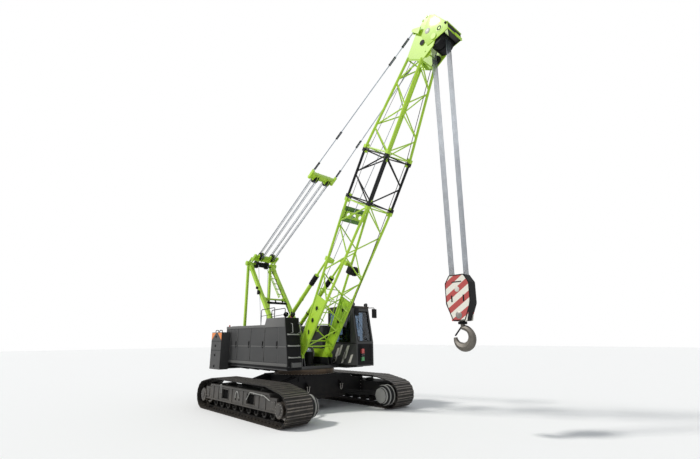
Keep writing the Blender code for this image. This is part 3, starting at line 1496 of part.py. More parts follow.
def suspension():
    slope = suspension_slope()
    line = empty("pendant_axis", BOOM, (PENDANT_PIN_S, 0, PENDANT_PIN_T), slope - BOOM_ANGLE)
    hole = hole_radius(PENDANT_RADIUS)
    eye = PENDANT_EYE_RADIUS
    for side, sign in (("right", -1), ("left", 1)):
        y = sign * PENDANT_PIN_Y
        lower_y = sign * SPREADER_HALF
        lean = (SPREADER_HALF - PENDANT_PIN_Y) / SPREADER_UPPER
        end = (-SPREADER_UPPER + 2 * SPREADER_SHEAVE_RADIUS + 2 * PENDANT_RADIUS * lean, lower_y, 0)
        head = (-eye + SINK, y, 0)
        node(
            f"pendant_{side}",
            line,
            ROPE,
            [
                rod(end, head, PENDANT_RADIUS),
                side_plate([circle(0, 0, eye), circle(0, 0, hole)], y, 2 * PENDANT_RADIUS),
            ],
        )
    spreader("upper_spreader", line, -SPREADER_UPPER, 1)
    tackle = empty("tackle_axis", line)
    spreader("lower_spreader", tackle, -SPREADER_LOWER, -1)
    for side, sign in (("right", -1), ("left", 1)):
        y = sign * SPREADER_SHEAVE_Y
        radius = SPREADER_SHEAVE_RADIUS + rope_flat() + SEAT_GAP
        points = [(-SPREADER_UPPER, y, radius)]
        bend = arc(-SPREADER_LOWER, 0, radius, math.pi / 2, 3 * math.pi / 2, ARC_STEPS)
        points += [(x, y, z) for x, z in bend]
        points.append((-SPREADER_UPPER, y, -radius))
        node(f"luffing_rope_{side}", tackle, ROPE, [pipe(points, ROPE_RADIUS, ROPE_SIDES)])


def spreader(name, line, x, heading):
    """Sheaves on an axle between two links; `heading` points along the line to the links' far ends.

    The lower spreader's links end in hooks that lie on the gantry's round bosses.
    """
    thick = HEAD_PLATE_THICKNESS
    radius = SPREADER_SHEAVE_RADIUS
    shapes = [wheel(x, 0, -SPREADER_HALF - thick, SPREADER_HALF + thick, AXLE_RADIUS, PIN_SIDES)]
    for y in (-SPREADER_SHEAVE_Y, SPREADER_SHEAVE_Y):
        shapes.append(wheel(x, 0, y - 2 * ROPE_RADIUS, y + 2 * ROPE_RADIUS, radius))
        for edge in (-1, 1):
            cheek = y + edge * (2 * ROPE_RADIUS + thick)
            outline = rectangle(x - radius / 2, -radius / 2, x + radius / 2, radius / 2)
            shapes.append(side_plate([outline], cheek, thick))
    for sign in (-1, 1):
        far = x + heading * 2 * radius
        low_x, high_x = sorted((x, far - heading * SEAT_GAP))
        low_y, high_y = sign * SPREADER_HALF - thick, sign * SPREADER_HALF + thick
        shapes.append(box((low_x, low_y, -SPREADER_LINK), (high_x, high_y, SPREADER_LINK)))
        if heading < 0:
            seat = GANTRY_BOSS_RADIUS + SEAT_GAP
            top = seat + SPREADER_LINK
            shapes.append(box((low_x, low_y + SINK, 0), (low_x + radius / 2, high_y - SINK, top)))
            hook_end = -SUSPENSION_LENGTH - radius / 4
            shapes.append(box((hook_end, low_y, seat), (low_x + radius / 4, high_y, top - SINK)))
    node(name, line, LIME, shapes)


# Hoist: vertical at every boom angle


def hoist():
    axis = empty("hoist_axis", BOOM, (HEAD_AXLE_S, 0, HEAD_AXLE_T), -BOOM_ANGLE)
    radius = HEAD_SHEAVE_RADIUS - HEAD_SHEAVE_THICKNESS / 2 + ROPE_RADIUS + SEAT_GAP
    points = [(-radius, 0, -HOIST_DROP)]
    points += [(x, 0, z) for x, z in arc(0, 0, radius, math.pi, 0, ARC_STEPS)]
    points.append((radius, 0, -HOIST_DROP))
    node("hoist_rope", axis, ROPE, [pipe(points, ROPE_RADIUS, ROPE_SIDES)])
    block = empty("hook_block_axis", axis, (0, 0, -HOIST_DROP))
    half = BLOCK_THICKNESS / 2
    thick = HEAD_PLATE_THICKNESS
    outline = [
        (-BLOCK_TOP_HALF, BLOCK_UP),
        (-BLOCK_HALF_WIDTH, BLOCK_TOP_HALF / 2),
        (-BLOCK_HALF_WIDTH, -BLOCK_TOP_HALF),
        (-BLOCK_TOP_HALF, -BLOCK_DOWN),
        (BLOCK_TOP_HALF, -BLOCK_DOWN),
        (BLOCK_HALF_WIDTH, -BLOCK_TOP_HALF),
        (BLOCK_HALF_WIDTH, BLOCK_TOP_HALF / 2),
        (BLOCK_TOP_HALF, BLOCK_UP),
    ]
    shapes = [side_plate([outline], sign * (half - thick / 2), thick) for sign in (-1, 1)]
    sheave = radius - ROPE_RADIUS - SEAT_GAP
    shapes.append(wheel(0, 0, -half + SINK, half - SINK, AXLE_RADIUS, PIN_SIDES))
    shapes.append(wheel(0, 0, -half / 2, half / 2, sheave))
    shapes.append(
        box(
            (-BLOCK_TOP_HALF / 2, -half + SINK, -BLOCK_DOWN),
            (BLOCK_TOP_HALF / 2, half - SINK, -BLOCK_DOWN + BLOCK_TOP_HALF),
        )
    )
    node("hook_block", block, DARK, shapes)
    swivel = empty("hook_swivel", block, (0, 0, -BLOCK_DOWN))
    node("hook", swivel, DARK, [hook_mesh()])


def hook_mesh():
    """A single hook that opens to the rear, thickest where it carries."""
    centre = -(HOOK_DROP - BLOCK_DOWN) + HOOK_BAR * HOOK_BAR_SHARES[3][1] + HOOK_THROAT
    points = [(0, 0, -BEARING_GAP), (0, 0, centre + HOOK_THROAT)]
    bend = arc(0, centre, HOOK_THROAT, math.pi / 2, -math.pi, 2 * ARC_STEPS)
    points += [(x, 0, z) for x, z in bend[1:]]
    shares = [HOOK_BAR_SHARES[0][1]] * 2
    for index in range(1, len(bend)):
        way = index / (len(bend) - 1)
        after = next(i for i in range(1, len(HOOK_BAR_SHARES)) if HOOK_BAR_SHARES[i][0] >= way)
        (way0, thick0), (way1, thick1) = HOOK_BAR_SHARES[after - 1], HOOK_BAR_SHARES[after]
        shares.append(thick0 + (thick1 - thick0) * (way - way0) / (way1 - way0))
    return pipe(points, HOOK_BAR, TUBE_SIDES, shares)


PIECES = (
    tracks,
    carbody,
    slewing_ring,
    upper_frame,
    swing_reducer,
    house_right,
    house_doors,
    engine,
    house_left,
    counterweight,
    cab,
    drums,
    gantry,
    boom_foot,
    boom_insert,
    boom_tip,
    head_sheaves,
    backstops,
    suspension,
    hoist,
)
for make in PIECES:
    make()
centre_footprint([assemble(*noted) for noted in NODES])
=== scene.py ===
"""The looks of a lattice-boom crawler crane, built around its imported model.

Metres, +X forward, +Y to the crane's left, +Z up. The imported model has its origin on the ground
under the middle of the crane's box; places of the crane's own are written from its slewing axis.
"""

import json
import math

import bmesh
import bpy
from mathutils import Matrix, Vector


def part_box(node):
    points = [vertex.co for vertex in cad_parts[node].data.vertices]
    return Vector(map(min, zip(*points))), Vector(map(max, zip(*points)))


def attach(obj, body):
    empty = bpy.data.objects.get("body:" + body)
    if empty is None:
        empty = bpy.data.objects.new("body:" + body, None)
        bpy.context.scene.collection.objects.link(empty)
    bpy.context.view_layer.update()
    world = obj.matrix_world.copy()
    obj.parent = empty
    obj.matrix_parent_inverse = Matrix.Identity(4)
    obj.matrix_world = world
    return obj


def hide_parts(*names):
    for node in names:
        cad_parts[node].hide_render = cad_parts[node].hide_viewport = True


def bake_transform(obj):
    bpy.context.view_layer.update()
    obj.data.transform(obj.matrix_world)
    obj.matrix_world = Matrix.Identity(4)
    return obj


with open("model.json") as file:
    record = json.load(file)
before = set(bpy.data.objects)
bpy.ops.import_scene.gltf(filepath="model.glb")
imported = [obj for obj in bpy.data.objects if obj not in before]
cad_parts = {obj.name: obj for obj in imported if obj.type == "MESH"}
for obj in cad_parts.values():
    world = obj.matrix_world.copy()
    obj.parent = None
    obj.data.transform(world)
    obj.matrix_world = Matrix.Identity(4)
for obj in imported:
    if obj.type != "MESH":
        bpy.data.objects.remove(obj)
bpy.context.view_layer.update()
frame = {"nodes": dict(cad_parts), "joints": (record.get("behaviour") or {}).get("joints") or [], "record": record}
JOINTS = {joint["name"]: joint for joint in frame["joints"]}
BODY_OF = {
    part: body for body, nodes in frame["record"]["behaviour"]["bodies"].items() for part in nodes
}
SLOT_OF = {part["node"]: part["material_slot"] for part in frame["record"]["subparts"]}
SIDES = (("right", -1), ("left", 1))
SMOOTH_ANGLE = math.radians(50)
ROUND_ANGLE = math.radians(34)  # of a solid's round faces
BEND_STEPS, BELT_STEPS, ROPE_SIDES = 5, 16, 10

# Where the crane's own frames are
SLEW_X = JOINTS["slewing"]["pos_m"][0]
FOOT_PIN = Vector(JOINTS["boom_luff"]["pos_m"])
BOOM_ANGLE = math.radians(59.67)
SUSPENSION_PIN = Vector(JOINTS["pendant_hinge"]["pos_m"])
SUSPENSION_UP = Vector(JOINTS["luffing_tackle_slide"]["axis"])
HEAD_AXLE = Vector(JOINTS["hoist_plumb"]["pos_m"])
HOOK_TOP = Vector(JOINTS["hook_swivel"]["pos_m"])
SUSPENSION_ANGLE = math.atan2(abs(SUSPENSION_UP.z), abs(SUSPENSION_UP.x))

ON_DECK = Matrix.Translation((SLEW_X, 0, 0))
ON_BOOM = Matrix.Translation(FOOT_PIN) @ Matrix.Rotation(-BOOM_ANGLE, 4, "Y")
ON_LINE = Matrix.Translation(SUSPENSION_PIN) @ Matrix.Rotation(-SUSPENSION_ANGLE, 4, "Y")
ON_HEAD = Matrix.Translation(HEAD_AXLE)
ON_HOOK = Matrix.Translation(HOOK_TOP)
UPRIGHT = Matrix(((1, 0, 0, 0), (0, 0, -1, 0), (0, 1, 0, 0), (0, 0, 0, 1)))


# Shapes: each function returns a bmesh in the frame that its piece is placed in


def box(low, high, bevel=0.0):
    """A box between two corners, in either order."""
    shape = bmesh.new()
    bmesh.ops.create_cube(shape, size=1.0)
    low, high = Vector(low), Vector(high)
    size = Vector([abs(reach) for reach in high - low])
    bmesh.ops.transform(shape, matrix=Matrix.LocRotScale((low + high) / 2, None, size), verts=shape.verts)
    if bevel:
        bmesh.ops.bevel(
            shape, geom=shape.edges[:], offset=bevel, segments=2, profile=0.7, affect="EDGES", clamp_overlap=True,
        )
    return shape


def block(centre, halves, bevel):
    """A box by its middle and its half sizes."""
    low = [middle - half for middle, half in zip(centre, halves)]
    return box(low, [middle + half for middle, half in zip(centre, halves)], bevel)


def facing(point, heading):
    """The frame at a point whose own Z looks along `heading`."""
    return Matrix.Translation(point) @ Vector(heading).to_track_quat("Z", "Y").to_matrix().to_4x4()


def bar(start, end, wide, deep, bevel):
    """A square bar between two points, `wide` across and `deep` the other way."""
    start, end = Vector(start), Vector(end)
    along = end - start
    half = along.length / 2
    shape = block((0, 0, 0), (deep / 2, wide / 2, half), bevel)
    return moved(shape, facing((start + end) / 2, along))


def rod(start, end, radius, sides, bevel=0.0):
    """A round bar between two points."""
    start, end = Vector(start), Vector(end)
    along = end - start
    half = along.length / 2
    profile = [
        (0, -half), (radius - bevel, -half), (radius, -half + bevel), (radius, half - bevel), (radius - bevel, half),
        (0, half),
    ]
    return moved(turned(profile, sides), facing((start + end) / 2, along))


def cross_rod(x, y0, y1, z, radius, sides, bevel=0.0):
    """A round bar that lies across the crane."""
    return rod((x, y0, z), (x, y1, z), radius, sides, bevel)


def turned(profile, sides, closed=False):
    """A profile of (radius, height) spun about its own Z; `closed` makes a ring of it."""
    shape = bmesh.new()
    turns = [2 * math.pi * step / sides for step in range(sides)]
    rings = []
    for radius, height in profile:
        ring = [(radius * math.cos(turn), radius * math.sin(turn), height) for turn in turns]
        rings.append([shape.verts.new(place) for place in ring])
    pairs = list(zip(rings, rings[1:]))
    if closed:
        pairs.append((rings[-1], rings[0]))
    for near, far in pairs:
        for step in range(sides):
            after = (step + 1) % sides
            shape.faces.new((near[step], near[after], far[after], far[step]))
    bmesh.ops.remove_doubles(shape, verts=shape.verts, dist=1e-6)
    bmesh.ops.dissolve_degenerate(shape, edges=shape.edges, dist=1e-7)
    bmesh.ops.recalc_face_normals(shape, faces=shape.faces)
    return shape


def on_y(x, y, z, heading):
    """The frame for a turned shape whose axis lies across the crane."""
    return facing((x, y, z), (0, heading, 0))


def wheel(profile, sides, x, y, z, heading=1, closed=False):
    """A turned shape about an axis that lies across the crane."""
    return moved(turned(profile, sides, closed), on_y(x, y, z, heading))


def tube(points, radius, sides):
    """A round bar along a path."""
    points = [Vector(point) for point in points]
    shape = bmesh.new()
    rings = []
    side = None
    for index, point in enumerate(points):
        before, after = points[max(index - 1, 0)], points[min(index + 1, len(points) - 1)]
        heading = (after - before).normalized()
        if side is None:
            side = heading.orthogonal().normalized()
        side = (side - heading * side.dot(heading)).normalized()
        up = heading.cross(side)
        turns = [2 * math.pi * step / sides for step in range(sides)]
        ring = [point + (side * math.cos(turn) + up * math.sin(turn)) * radius for turn in turns]
        rings.append([shape.verts.new(place) for place in ring])
    for near, far in zip(rings, rings[1:]):
        for step in range(sides):
            after = (step + 1) % sides
            shape.faces.new((near[step], near[after], far[after], far[step]))
    shape.faces.new(reversed(rings[0]))
    shape.faces.new(rings[-1])
    bmesh.ops.recalc_face_normals(shape, faces=shape.faces)
    return shape


def rounded_path(points, radius):
    """The same path with a curve in place of each inner corner."""
    points = [Vector(point) for point in points]
    path = [points[0]]
    for before, corner, after in zip(points, points[1:], points[2:]):
        back, onward = before - corner, after - corner
        reach = min(radius, back.length / 2, onward.length / 2)
        start, end = corner + back.normalized() * reach, corner + onward.normalized() * reach
        for step in range(BEND_STEPS + 1):
            way = step / BEND_STEPS
            path.append(start * (1 - way) ** 2 + corner * 2 * way * (1 - way) + end * way**2)
    return path + [points[-1]]


def pipe(points, radius, bend, sides=10):
    """A round bar along a path with bends in place of its corners."""
    return tube(rounded_path(points, bend), radius, sides)


def plate(outline, thickness, place, bevel=0.0):
    """A flat plate from an outline in its own XY plane, with its middle on that plane."""
    shape = bmesh.new()
    base = shape.faces.new([shape.verts.new((x, y, -thickness / 2)) for x, y in outline])
    grown = bmesh.ops.extrude_face_region(shape, geom=[base])["geom"]
    tops = [part for part in grown if isinstance(part, bmesh.types.BMVert)]
    bmesh.ops.translate(shape, vec=(0, 0, thickness), verts=tops)
    bmesh.ops.recalc_face_normals(shape, faces=shape.faces)
    if bevel:
        rims = [edge for edge in shape.edges if abs(edge.verts[0].co.z - edge.verts[1].co.z) < thickness / 2]
        bmesh.ops.bevel(shape, geom=rims, offset=bevel, segments=2, profile=0.7, affect="EDGES")
    return moved(shape, place)


def side_plate(outline, y, thickness, bevel=0.0):
    """A plate that stands in the XZ plane, with its middle at `y`."""
    return plate(outline, thickness, Matrix.Translation((0, y, 0)) @ UPRIGHT, bevel)


def cross_plate(outline, x, thickness):
    """A plate that stands across the crane, its outline in (y, z)."""
    return plate(outline, thickness, Matrix(((0, 0, 1, x), (1, 0, 0, 0), (0, 1, 0, 0), (0, 0, 0, 1))))


def arc(x, y, radius, start, end, steps):
    """Points along an arc, both ends with them."""
    turns = [start + (end - start) * step / steps for step in range(steps + 1)]
    return [(x + radius * math.cos(turn), y + radius * math.sin(turn)) for turn in turns]


def circle(x, y, radius, sides):
    """Points round a circle, the first one once."""
    return arc(x, y, radius, 0, 2 * math.pi * (sides - 1) / sides, sides - 1)


def rectangle(left, right, bottom, top):
    """Four corners, anticlockwise from the lowest on the left."""
    return [(left, bottom), (right, bottom), (right, top), (left, top)]


def frame_bars(corners, wide, deep, bevel):
    """Square bars along a closed path of corners, such as the rim of a window."""
    return [bar(start, end, wide, deep, bevel) for start, end in zip(corners, corners[1:] + corners[:1])]


def moved(shape, place):
    """The same shape, moved by a matrix."""
    bmesh.ops.transform(shape, matrix=place, verts=shape.verts)
    return shape


def linked(name, mesh, material):
    """A new object in the scene with one finish."""
    mesh.materials.clear()
    mesh.materials.append(material)
    thing = bpy.data.objects.new(name, mesh)
    bpy.context.scene.collection.objects.link(thing)
    return thing


def mesh_of(shapes, name="shape", place=None):
    """One plain mesh of several shapes, which it uses up."""
    joined = bmesh.new()
    for shape in shapes:
        mesh = bpy.data.meshes.new("part")
        shape.to_mesh(mesh)
        shape.free()
        joined.from_mesh(mesh)
        bpy.data.meshes.remove(mesh)
    if place:
        moved(joined, place)
    mesh = bpy.data.meshes.new(name)
    joined.to_mesh(mesh)
    joined.free()
    return mesh


def piece(name, body, material, shapes, place=ON_DECK, slot=None, stands_for=()):
    """One named object from several shapes; it rides on a body of the crane."""
    return dressed(name, body, material, mesh_of(shapes, name, place), slot, stands_for)


def dressed(name, body, material, mesh, slot=None, stands_for=()):
    """A finished object, shaded smooth and riding on a body; its slot, its own or its finish's, is looked up but not
    used.
    """
    slot = slot or SLOTS.get(material.name)
    mesh.shade_smooth()
    mesh.set_sharp_from_angle(angle=SMOOTH_ANGLE)
    thing = linked(name, mesh, material)
    if body:
        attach(thing, body)
    if stands_for:
        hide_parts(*stands_for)
    return thing


def refined(node):
    """A copy of a solid, merged and shaded round, that stands for it."""
    joined = bmesh.new()
    joined.from_mesh(frame["nodes"][node].data)
    bmesh.ops.remove_doubles(joined, verts=joined.verts, dist=1e-5)
    bmesh.ops.dissolve_limit(
        joined, angle_limit=math.radians(0.3), use_dissolve_boundaries=False, verts=joined.verts, edges=joined.edges,
    )
    mesh = bpy.data.meshes.new(f"{node}_surface")
    for edge in joined.edges:
        sizes = [face.calc_area() for face in edge.link_faces]
        bent = len(sizes) == 2 and edge.calc_face_angle(0) < ROUND_ANGLE
        edge.smooth = bent and max(sizes) < 7 * min(sizes)
    for face in joined.faces:
        face.smooth = True
    joined.to_mesh(mesh)
    joined.free()
    surface = linked(f"{node}_surface", mesh, LOOKS.get(node, MATERIALS[SLOT_OF[node]]))
    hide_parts(node)
    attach(surface, BODY_OF[node])
    return surface


# Geometry Nodes: shoes on their belts, and bolts, teeth or slats along marked paths


def wired(tree, kind, values=None, **settings):
    """A new node with its settings; values are numbers or sockets for its inputs."""
    made = tree.nodes.new(kind)
    for label, setting in settings.items():
        setattr(made, label, setting)
    for label, value in (values or {}).items():
        if isinstance(value, bpy.types.NodeSocket):
            tree.links.new(value, made.inputs[label])
        else:
            made.inputs[label].default_value = value
    return made


def maths(tree, operation, *values):
    """The result of a Math node."""
    return wired(tree, "ShaderNodeMath", dict(enumerate(values)), operation=operation).outputs[0]


def vectors(tree, operation, *values):
    """The result of a Vector Math node: a number for a dot product, else a vector."""
    made = wired(tree, "ShaderNodeVectorMath", dict(enumerate(values)), operation=operation)
    return made.outputs[1 if operation == "DOT_PRODUCT" else 0]


def object_place(tree):
    """The place on the object, in its own coordinates."""
    return wired(tree, "ShaderNodeTexCoord").outputs["Object"]


def named(tree, label, kind="FLOAT_VECTOR"):
    """The value of an attribute that the geometry carries."""
    return wired(tree, "GeometryNodeInputNamedAttribute", {"Name": label}, data_type=kind).outputs[0]


def growing_tree(name, extra):
    """A tree with a path, a part and a finish as inputs, and the inputs named in `extra`."""
    tree = bpy.data.node_groups.new(name, "GeometryNodeTree")
    sockets = {"Path": "Geometry", "Part": "Object", "Finish": "Material", **extra}
    for label, kind in sockets.items():
        tree.interface.new_socket(label, in_out="INPUT", socket_type=f"NodeSocket{kind}")
    tree.interface.new_socket("Result", in_out="OUTPUT", socket_type="NodeSocketGeometry")
    return tree, tree.nodes.new("NodeGroupInput"), tree.nodes.new("NodeGroupOutput")


def set_down(tree, given, result, points, along, across, size=None):
    """Ends a tree: the part on each point, its X along the path and its Y along `across`."""
    part = wired(tree, "GeometryNodeObjectInfo", {"Object": given.outputs["Part"]})
    level = wired(tree, "FunctionNodeAlignRotationToVector", {"Vector": along}, axis="X")
    turn = wired(
        tree, "FunctionNodeAlignRotationToVector", {"Rotation": level.outputs[0], "Vector": across}, axis="Y",
        pivot_axis="X",
    )
    placed = wired(
        tree, "GeometryNodeInstanceOnPoints",
        {"Points": points, "Instance": part.outputs["Geometry"], "Rotation": turn.outputs[0]},
    )
    if size:
        tree.links.new(size, placed.inputs["Scale"])
    real = wired(tree, "GeometryNodeRealizeInstances", {"Geometry": placed.outputs[0]})
    painted = wired(
        tree, "GeometryNodeSetMaterial", {"Geometry": real.outputs[0], "Material": given.outputs["Finish"]},
    )
    tree.links.new(painted.outputs[0], result.inputs[0])


def belt_tree():
    """Shoes on the chords of a closed belt, as many as `Count`."""
    tree, given, result = growing_tree("shoe_belt", {"Count": "Int"})
    curve = wired(tree, "GeometryNodeMeshToCurve", {"Mesh": given.outputs["Path"]})
    even = wired(tree, "GeometryNodeResampleCurve", {"Curve": curve.outputs[0], "Count": given.outputs["Count"]})
    belt = wired(tree, "GeometryNodeCurveToMesh", {"Curve": even.outputs[0]})
    ends = wired(tree, "GeometryNodeInputMeshEdgeVertices")
    heading = vectors(tree, "SUBTRACT", ends.outputs["Position 2"], ends.outputs["Position 1"])
    kept = wired(
        tree, "GeometryNodeStoreNamedAttribute", {"Geometry": belt.outputs[0], "Name": "heading", "Value": heading},
        data_type="FLOAT_VECTOR", domain="EDGE",
    )
    middles = wired(tree, "GeometryNodeMeshToPoints", {"Mesh": kept.outputs[0]}, mode="EDGES")
    set_down(tree, given, result, middles.outputs[0], named(tree, "heading"), (0.0, 1.0, 0.0))
    return tree


def marked_tree():
    """Parts spaced evenly along marked paths; each path says how many, how large and which way up."""
    tree, given, result = growing_tree("spaced_parts", {})
    curve = wired(tree, "GeometryNodeMeshToCurve", {"Mesh": given.outputs["Path"]})
    count = named(tree, "count", "INT")
    even = wired(tree, "GeometryNodeResampleCurve", {"Curve": curve.outputs[0], "Count": count})
    tangent = wired(tree, "GeometryNodeInputTangent")
    kept = wired(
        tree, "GeometryNodeStoreNamedAttribute",
        {"Geometry": even.outputs[0], "Name": "heading", "Value": tangent.outputs[0]}, data_type="FLOAT_VECTOR",
    )
    points = wired(tree, "GeometryNodeCurveToPoints", {"Curve": kept.outputs[0]}, mode="EVALUATED")
    heading = named(tree, "heading")
    across = vectors(tree, "CROSS_PRODUCT", named(tree, "facing"), heading)
    set_down(tree, given, result, points.outputs[0], heading, across, named(tree, "size"))
    return tree


BELT, MARKED = belt_tree(), marked_tree()


def grown(tree, path, part, material, **settings):
    """The plain mesh that a tree makes from a path's mesh and a part."""
    holder = bpy.data.objects.new("holder", path)
    pattern = linked("pattern", part, material)
    bpy.context.scene.collection.objects.link(holder)
    grow = holder.modifiers.new("grow", "NODES")
    grow.node_group = tree
    values = {"Part": pattern, "Finish": material, **settings}
    for item in tree.interface.items_tree:
        if item.in_out == "INPUT" and item.name in values:
            grow[item.identifier] = values[item.name]
    bpy.context.view_layer.update()
    mesh = bpy.data.meshes.new_from_object(holder.evaluated_get(bpy.context.evaluated_depsgraph_get()))
    for thing in (holder, pattern):
        shape = thing.data
        bpy.data.objects.remove(thing)
        bpy.data.meshes.remove(shape)
    return mesh


def row(start, end, up, count, size=1.0):
    """A marked path from one point to another; `up` is the way that its parts face."""
    return {"points": [start, end], "closed": False, "facing": up, "count": count, "size": size}


def ring(centre, up, radius, count, size=1.0, steps=48):
    """A marked path round a circle that faces `up`."""
    place = facing(centre, up)
    points = [place @ Vector((x, y, 0)) for x, y in circle(0, 0, radius, steps)]
    return {"points": points, "closed": True, "facing": up, "count": count, "size": size}


def spaced(name, material, part, paths, body="upperworks"):
    """One piece on the deck or below it: a part, given as shapes, spaced along marked paths."""
    vertices, edges, facings, counts, sizes = [], [], [], [], []
    for path in paths:
        first = len(vertices)
        number = len(path["points"])
        vertices += [tuple(point) for point in path["points"]]
        edges += [(first + index, first + index + 1) for index in range(number - 1)]
        if path["closed"]:
            edges.append((first + number - 1, first))
        facings += [component for _ in range(number) for component in path["facing"]]
        counts += [path["count"]] * number
        sizes += [path["size"]] * (3 * number)
    marks = bpy.data.meshes.new("marks")
    marks.from_pydata(vertices, edges, [])
    for label, kind, field, values in (
        ("facing", "FLOAT_VECTOR", "vector", facings), ("count", "INT", "value", counts),
        ("size", "FLOAT_VECTOR", "vector", sizes),
    ):
        marks.attributes.new(label, kind, "POINT").data.foreach_set(field, values)
    mesh = grown(MARKED, marks, mesh_of(part), material)
    mesh.transform(ON_DECK)
    return dressed(name, body, material, mesh)


def bolt_head():
    """A washer and a hexagon head for a 1 m flat, scaled by each path's size."""
    washer = turned([(0, 0), (0.62, 0), (0.62, 0.12), (0, 0.12)], 12)
    return [washer, turned([(0, 0.12), (0.54, 0.12), (0.54, 0.50), (0.46, 0.62), (0, 0.62)], 6)]


# Materials


def group(name, inputs, outputs):
    """A new shader node group with its sockets; inputs is {name: (type, value)}."""
    made = bpy.data.node_groups.new(name, "ShaderNodeTree")
    for label, (kind, value) in inputs.items():
        socket = made.interface.new_socket(label, in_out="INPUT", socket_type=f"NodeSocket{kind}")
        if value is not None:
            socket.default_value = value
    for label, kind in outputs.items():
        made.interface.new_socket(label, in_out="OUTPUT", socket_type=f"NodeSocket{kind}")
    return made, made.nodes.new("NodeGroupInput"), made.nodes.new("NodeGroupOutput")


def ramp(tree, value, low, high):
    """0 below `low`, 1 above `high`."""
    limits = {"Value": value, "From Min": low, "From Max": high}
    return wired(tree, "ShaderNodeMapRange", limits, clamp=True).outputs[0]


def worn_group():
    """Two scales of noise: a soft mottle for colour, and small spots for chips or dirt."""
    made, given, result = group(
        "worn_surface", {"Mottle Scale": ("Float", 0.8), "Spot Scale": ("Float", 9.0), "Spots": ("Float", 0.5)},
        {"Mottle": "Float", "Spots": "Float"},
    )
    place = object_place(made)
    mottle = wired(
        made, "ShaderNodeTexNoise", {"Vector": place, "Scale": given.outputs["Mottle Scale"], "Detail": 4.0},
    )
    spots = wired(
        made, "ShaderNodeTexNoise",
        {"Vector": place, "Scale": given.outputs["Spot Scale"], "Detail": 8.0, "Roughness": 0.65},
    )
    least = maths(made, "SUBTRACT", 0.9, given.outputs["Spots"])
    most = maths(made, "ADD", least, 0.12)
    found = ramp(made, spots.outputs[0], least, most)
    made.links.new(mottle.outputs[0], result.inputs["Mottle"])
    made.links.new(found, result.inputs["Spots"])
    return made


def dust_group():
    """Dry dust that settles low on the machine, in a broken pattern."""
    made, given, result = group("settled_dust", {"Top": ("Float", 1.6), "Amount": ("Float", 0.5)}, {"Dust": "Float"})
    place = object_place(made)
    height = wired(made, "ShaderNodeSeparateXYZ", {"Vector": place}).outputs["Z"]
    low = ramp(made, height, given.outputs["Top"], 0.0)
    noise = wired(made, "ShaderNodeTexNoise", {"Vector": place, "Scale": 3.5, "Detail": 7.0, "Roughness": 0.7})
    rough = ramp(made, noise.outputs[0], 0.35, 0.70)
    both = maths(made, "MULTIPLY", low, rough)
    dust = maths(made, "MULTIPLY", both, given.outputs["Amount"])
    made.links.new(dust, result.inputs["Dust"])
    return made


def skin_group():
    """The fine ripple that sprayed paint or cast metal has, as a normal."""
    made, given, result = group(
        "surface_ripple", {"Scale": ("Float", 60.0), "Height": ("Float", 0.2)}, {"Normal": "Vector"},
    )
    place = object_place(made)
    noise = wired(made, "ShaderNodeTexNoise", {"Vector": place, "Scale": given.outputs["Scale"], "Detail": 3.0})
    bump = wired(
        made, "ShaderNodeBump", {"Height": noise.outputs[0], "Strength": given.outputs["Height"], "Distance": 0.01},
    )
    made.links.new(bump.outputs[0], result.inputs["Normal"])
    return made


WORN, DUST, SKIN = worn_group(), dust_group(), skin_group()
DUST_COLOUR = (0.30, 0.24, 0.17)


def used(tree, tree_group, **values):
    """A node group put to use; an underscore in a label stands for a blank."""
    made = tree.nodes.new("ShaderNodeGroup")
    made.node_tree = tree_group
    for label, value in values.items():
        made.inputs[label.replace("_", " ")].default_value = value
    return made


def blend_colour(tree, share, first, second):
    """The second colour over the first, by a share."""
    mixed = wired(tree, "ShaderNodeMix", data_type="RGBA")
    for index, value in ((0, share), (6, first), (7, second)):
        if isinstance(value, bpy.types.NodeSocket):
            tree.links.new(value, mixed.inputs[index])
        else:
            mixed.inputs[index].default_value = value if index == 0 else (*value[:3], 1)
    return mixed.outputs[2]


def bare_material(name):
    """A new material, its tree and its shader."""
    made = bpy.data.materials.new(name)
    made.use_nodes = True
    return made, made.node_tree, made.node_tree.nodes["Principled BSDF"]


def roughen(tree, shader, worn, low, high):
    """Roughness between two values, by the mottle."""
    rough = wired(tree, "ShaderNodeMapRange", {"Value": worn.outputs["Mottle"], "To Min": low, "To Max": high})
    tree.links.new(rough.outputs[0], shader.inputs["Roughness"])


def finish(
    name,
    colour,
    shade,
    roughness,
    metallic=0.0,
    coat=0.0,
    wear=0.0,
    wear_colour=None,
    dust=0.0,
    dust_top=1.6,
    ripple=60.0,
    height=0.15,
    mottle=0.8,
    spot_scale=9.0,
    pattern=None,
    relief=None,
    gloss=0.5,
):
    """A weathered finish: two tones, spots of wear, dust low down, and a fine ripple."""
    made, tree, shader = bare_material(name)
    shader.inputs["Metallic"].default_value = metallic
    shader.inputs["Specular IOR Level"].default_value = gloss
    if coat:
        shader.inputs["Coat Weight"].default_value = coat
        shader.inputs["Coat Roughness"].default_value = 0.12
    worn = used(tree, WORN, Mottle_Scale=mottle, Spot_Scale=spot_scale, Spots=wear)
    look = blend_colour(tree, ramp(tree, worn.outputs["Mottle"], 0.35, 0.65), shade, colour)
    if pattern:
        look = pattern(tree, look)
    if wear:
        look = blend_colour(tree, worn.outputs["Spots"], look, wear_colour or shade)
    if dust:
        settled = used(tree, DUST, Top=dust_top, Amount=dust)
        look = blend_colour(tree, settled.outputs["Dust"], look, DUST_COLOUR)
    tree.links.new(look, shader.inputs["Base Color"])
    roughen(tree, shader, worn, roughness - 0.07, roughness + 0.10)
    skin = used(tree, SKIN, Scale=ripple, Height=height)
    normal = skin.outputs["Normal"]
    if relief:
        normal = wired(
            tree, "ShaderNodeBump", {"Height": relief(tree), "Strength": 0.8, "Distance": 0.004, "Normal": normal},
        ).outputs[0]
    tree.links.new(normal, shader.inputs["Normal"])
    return made


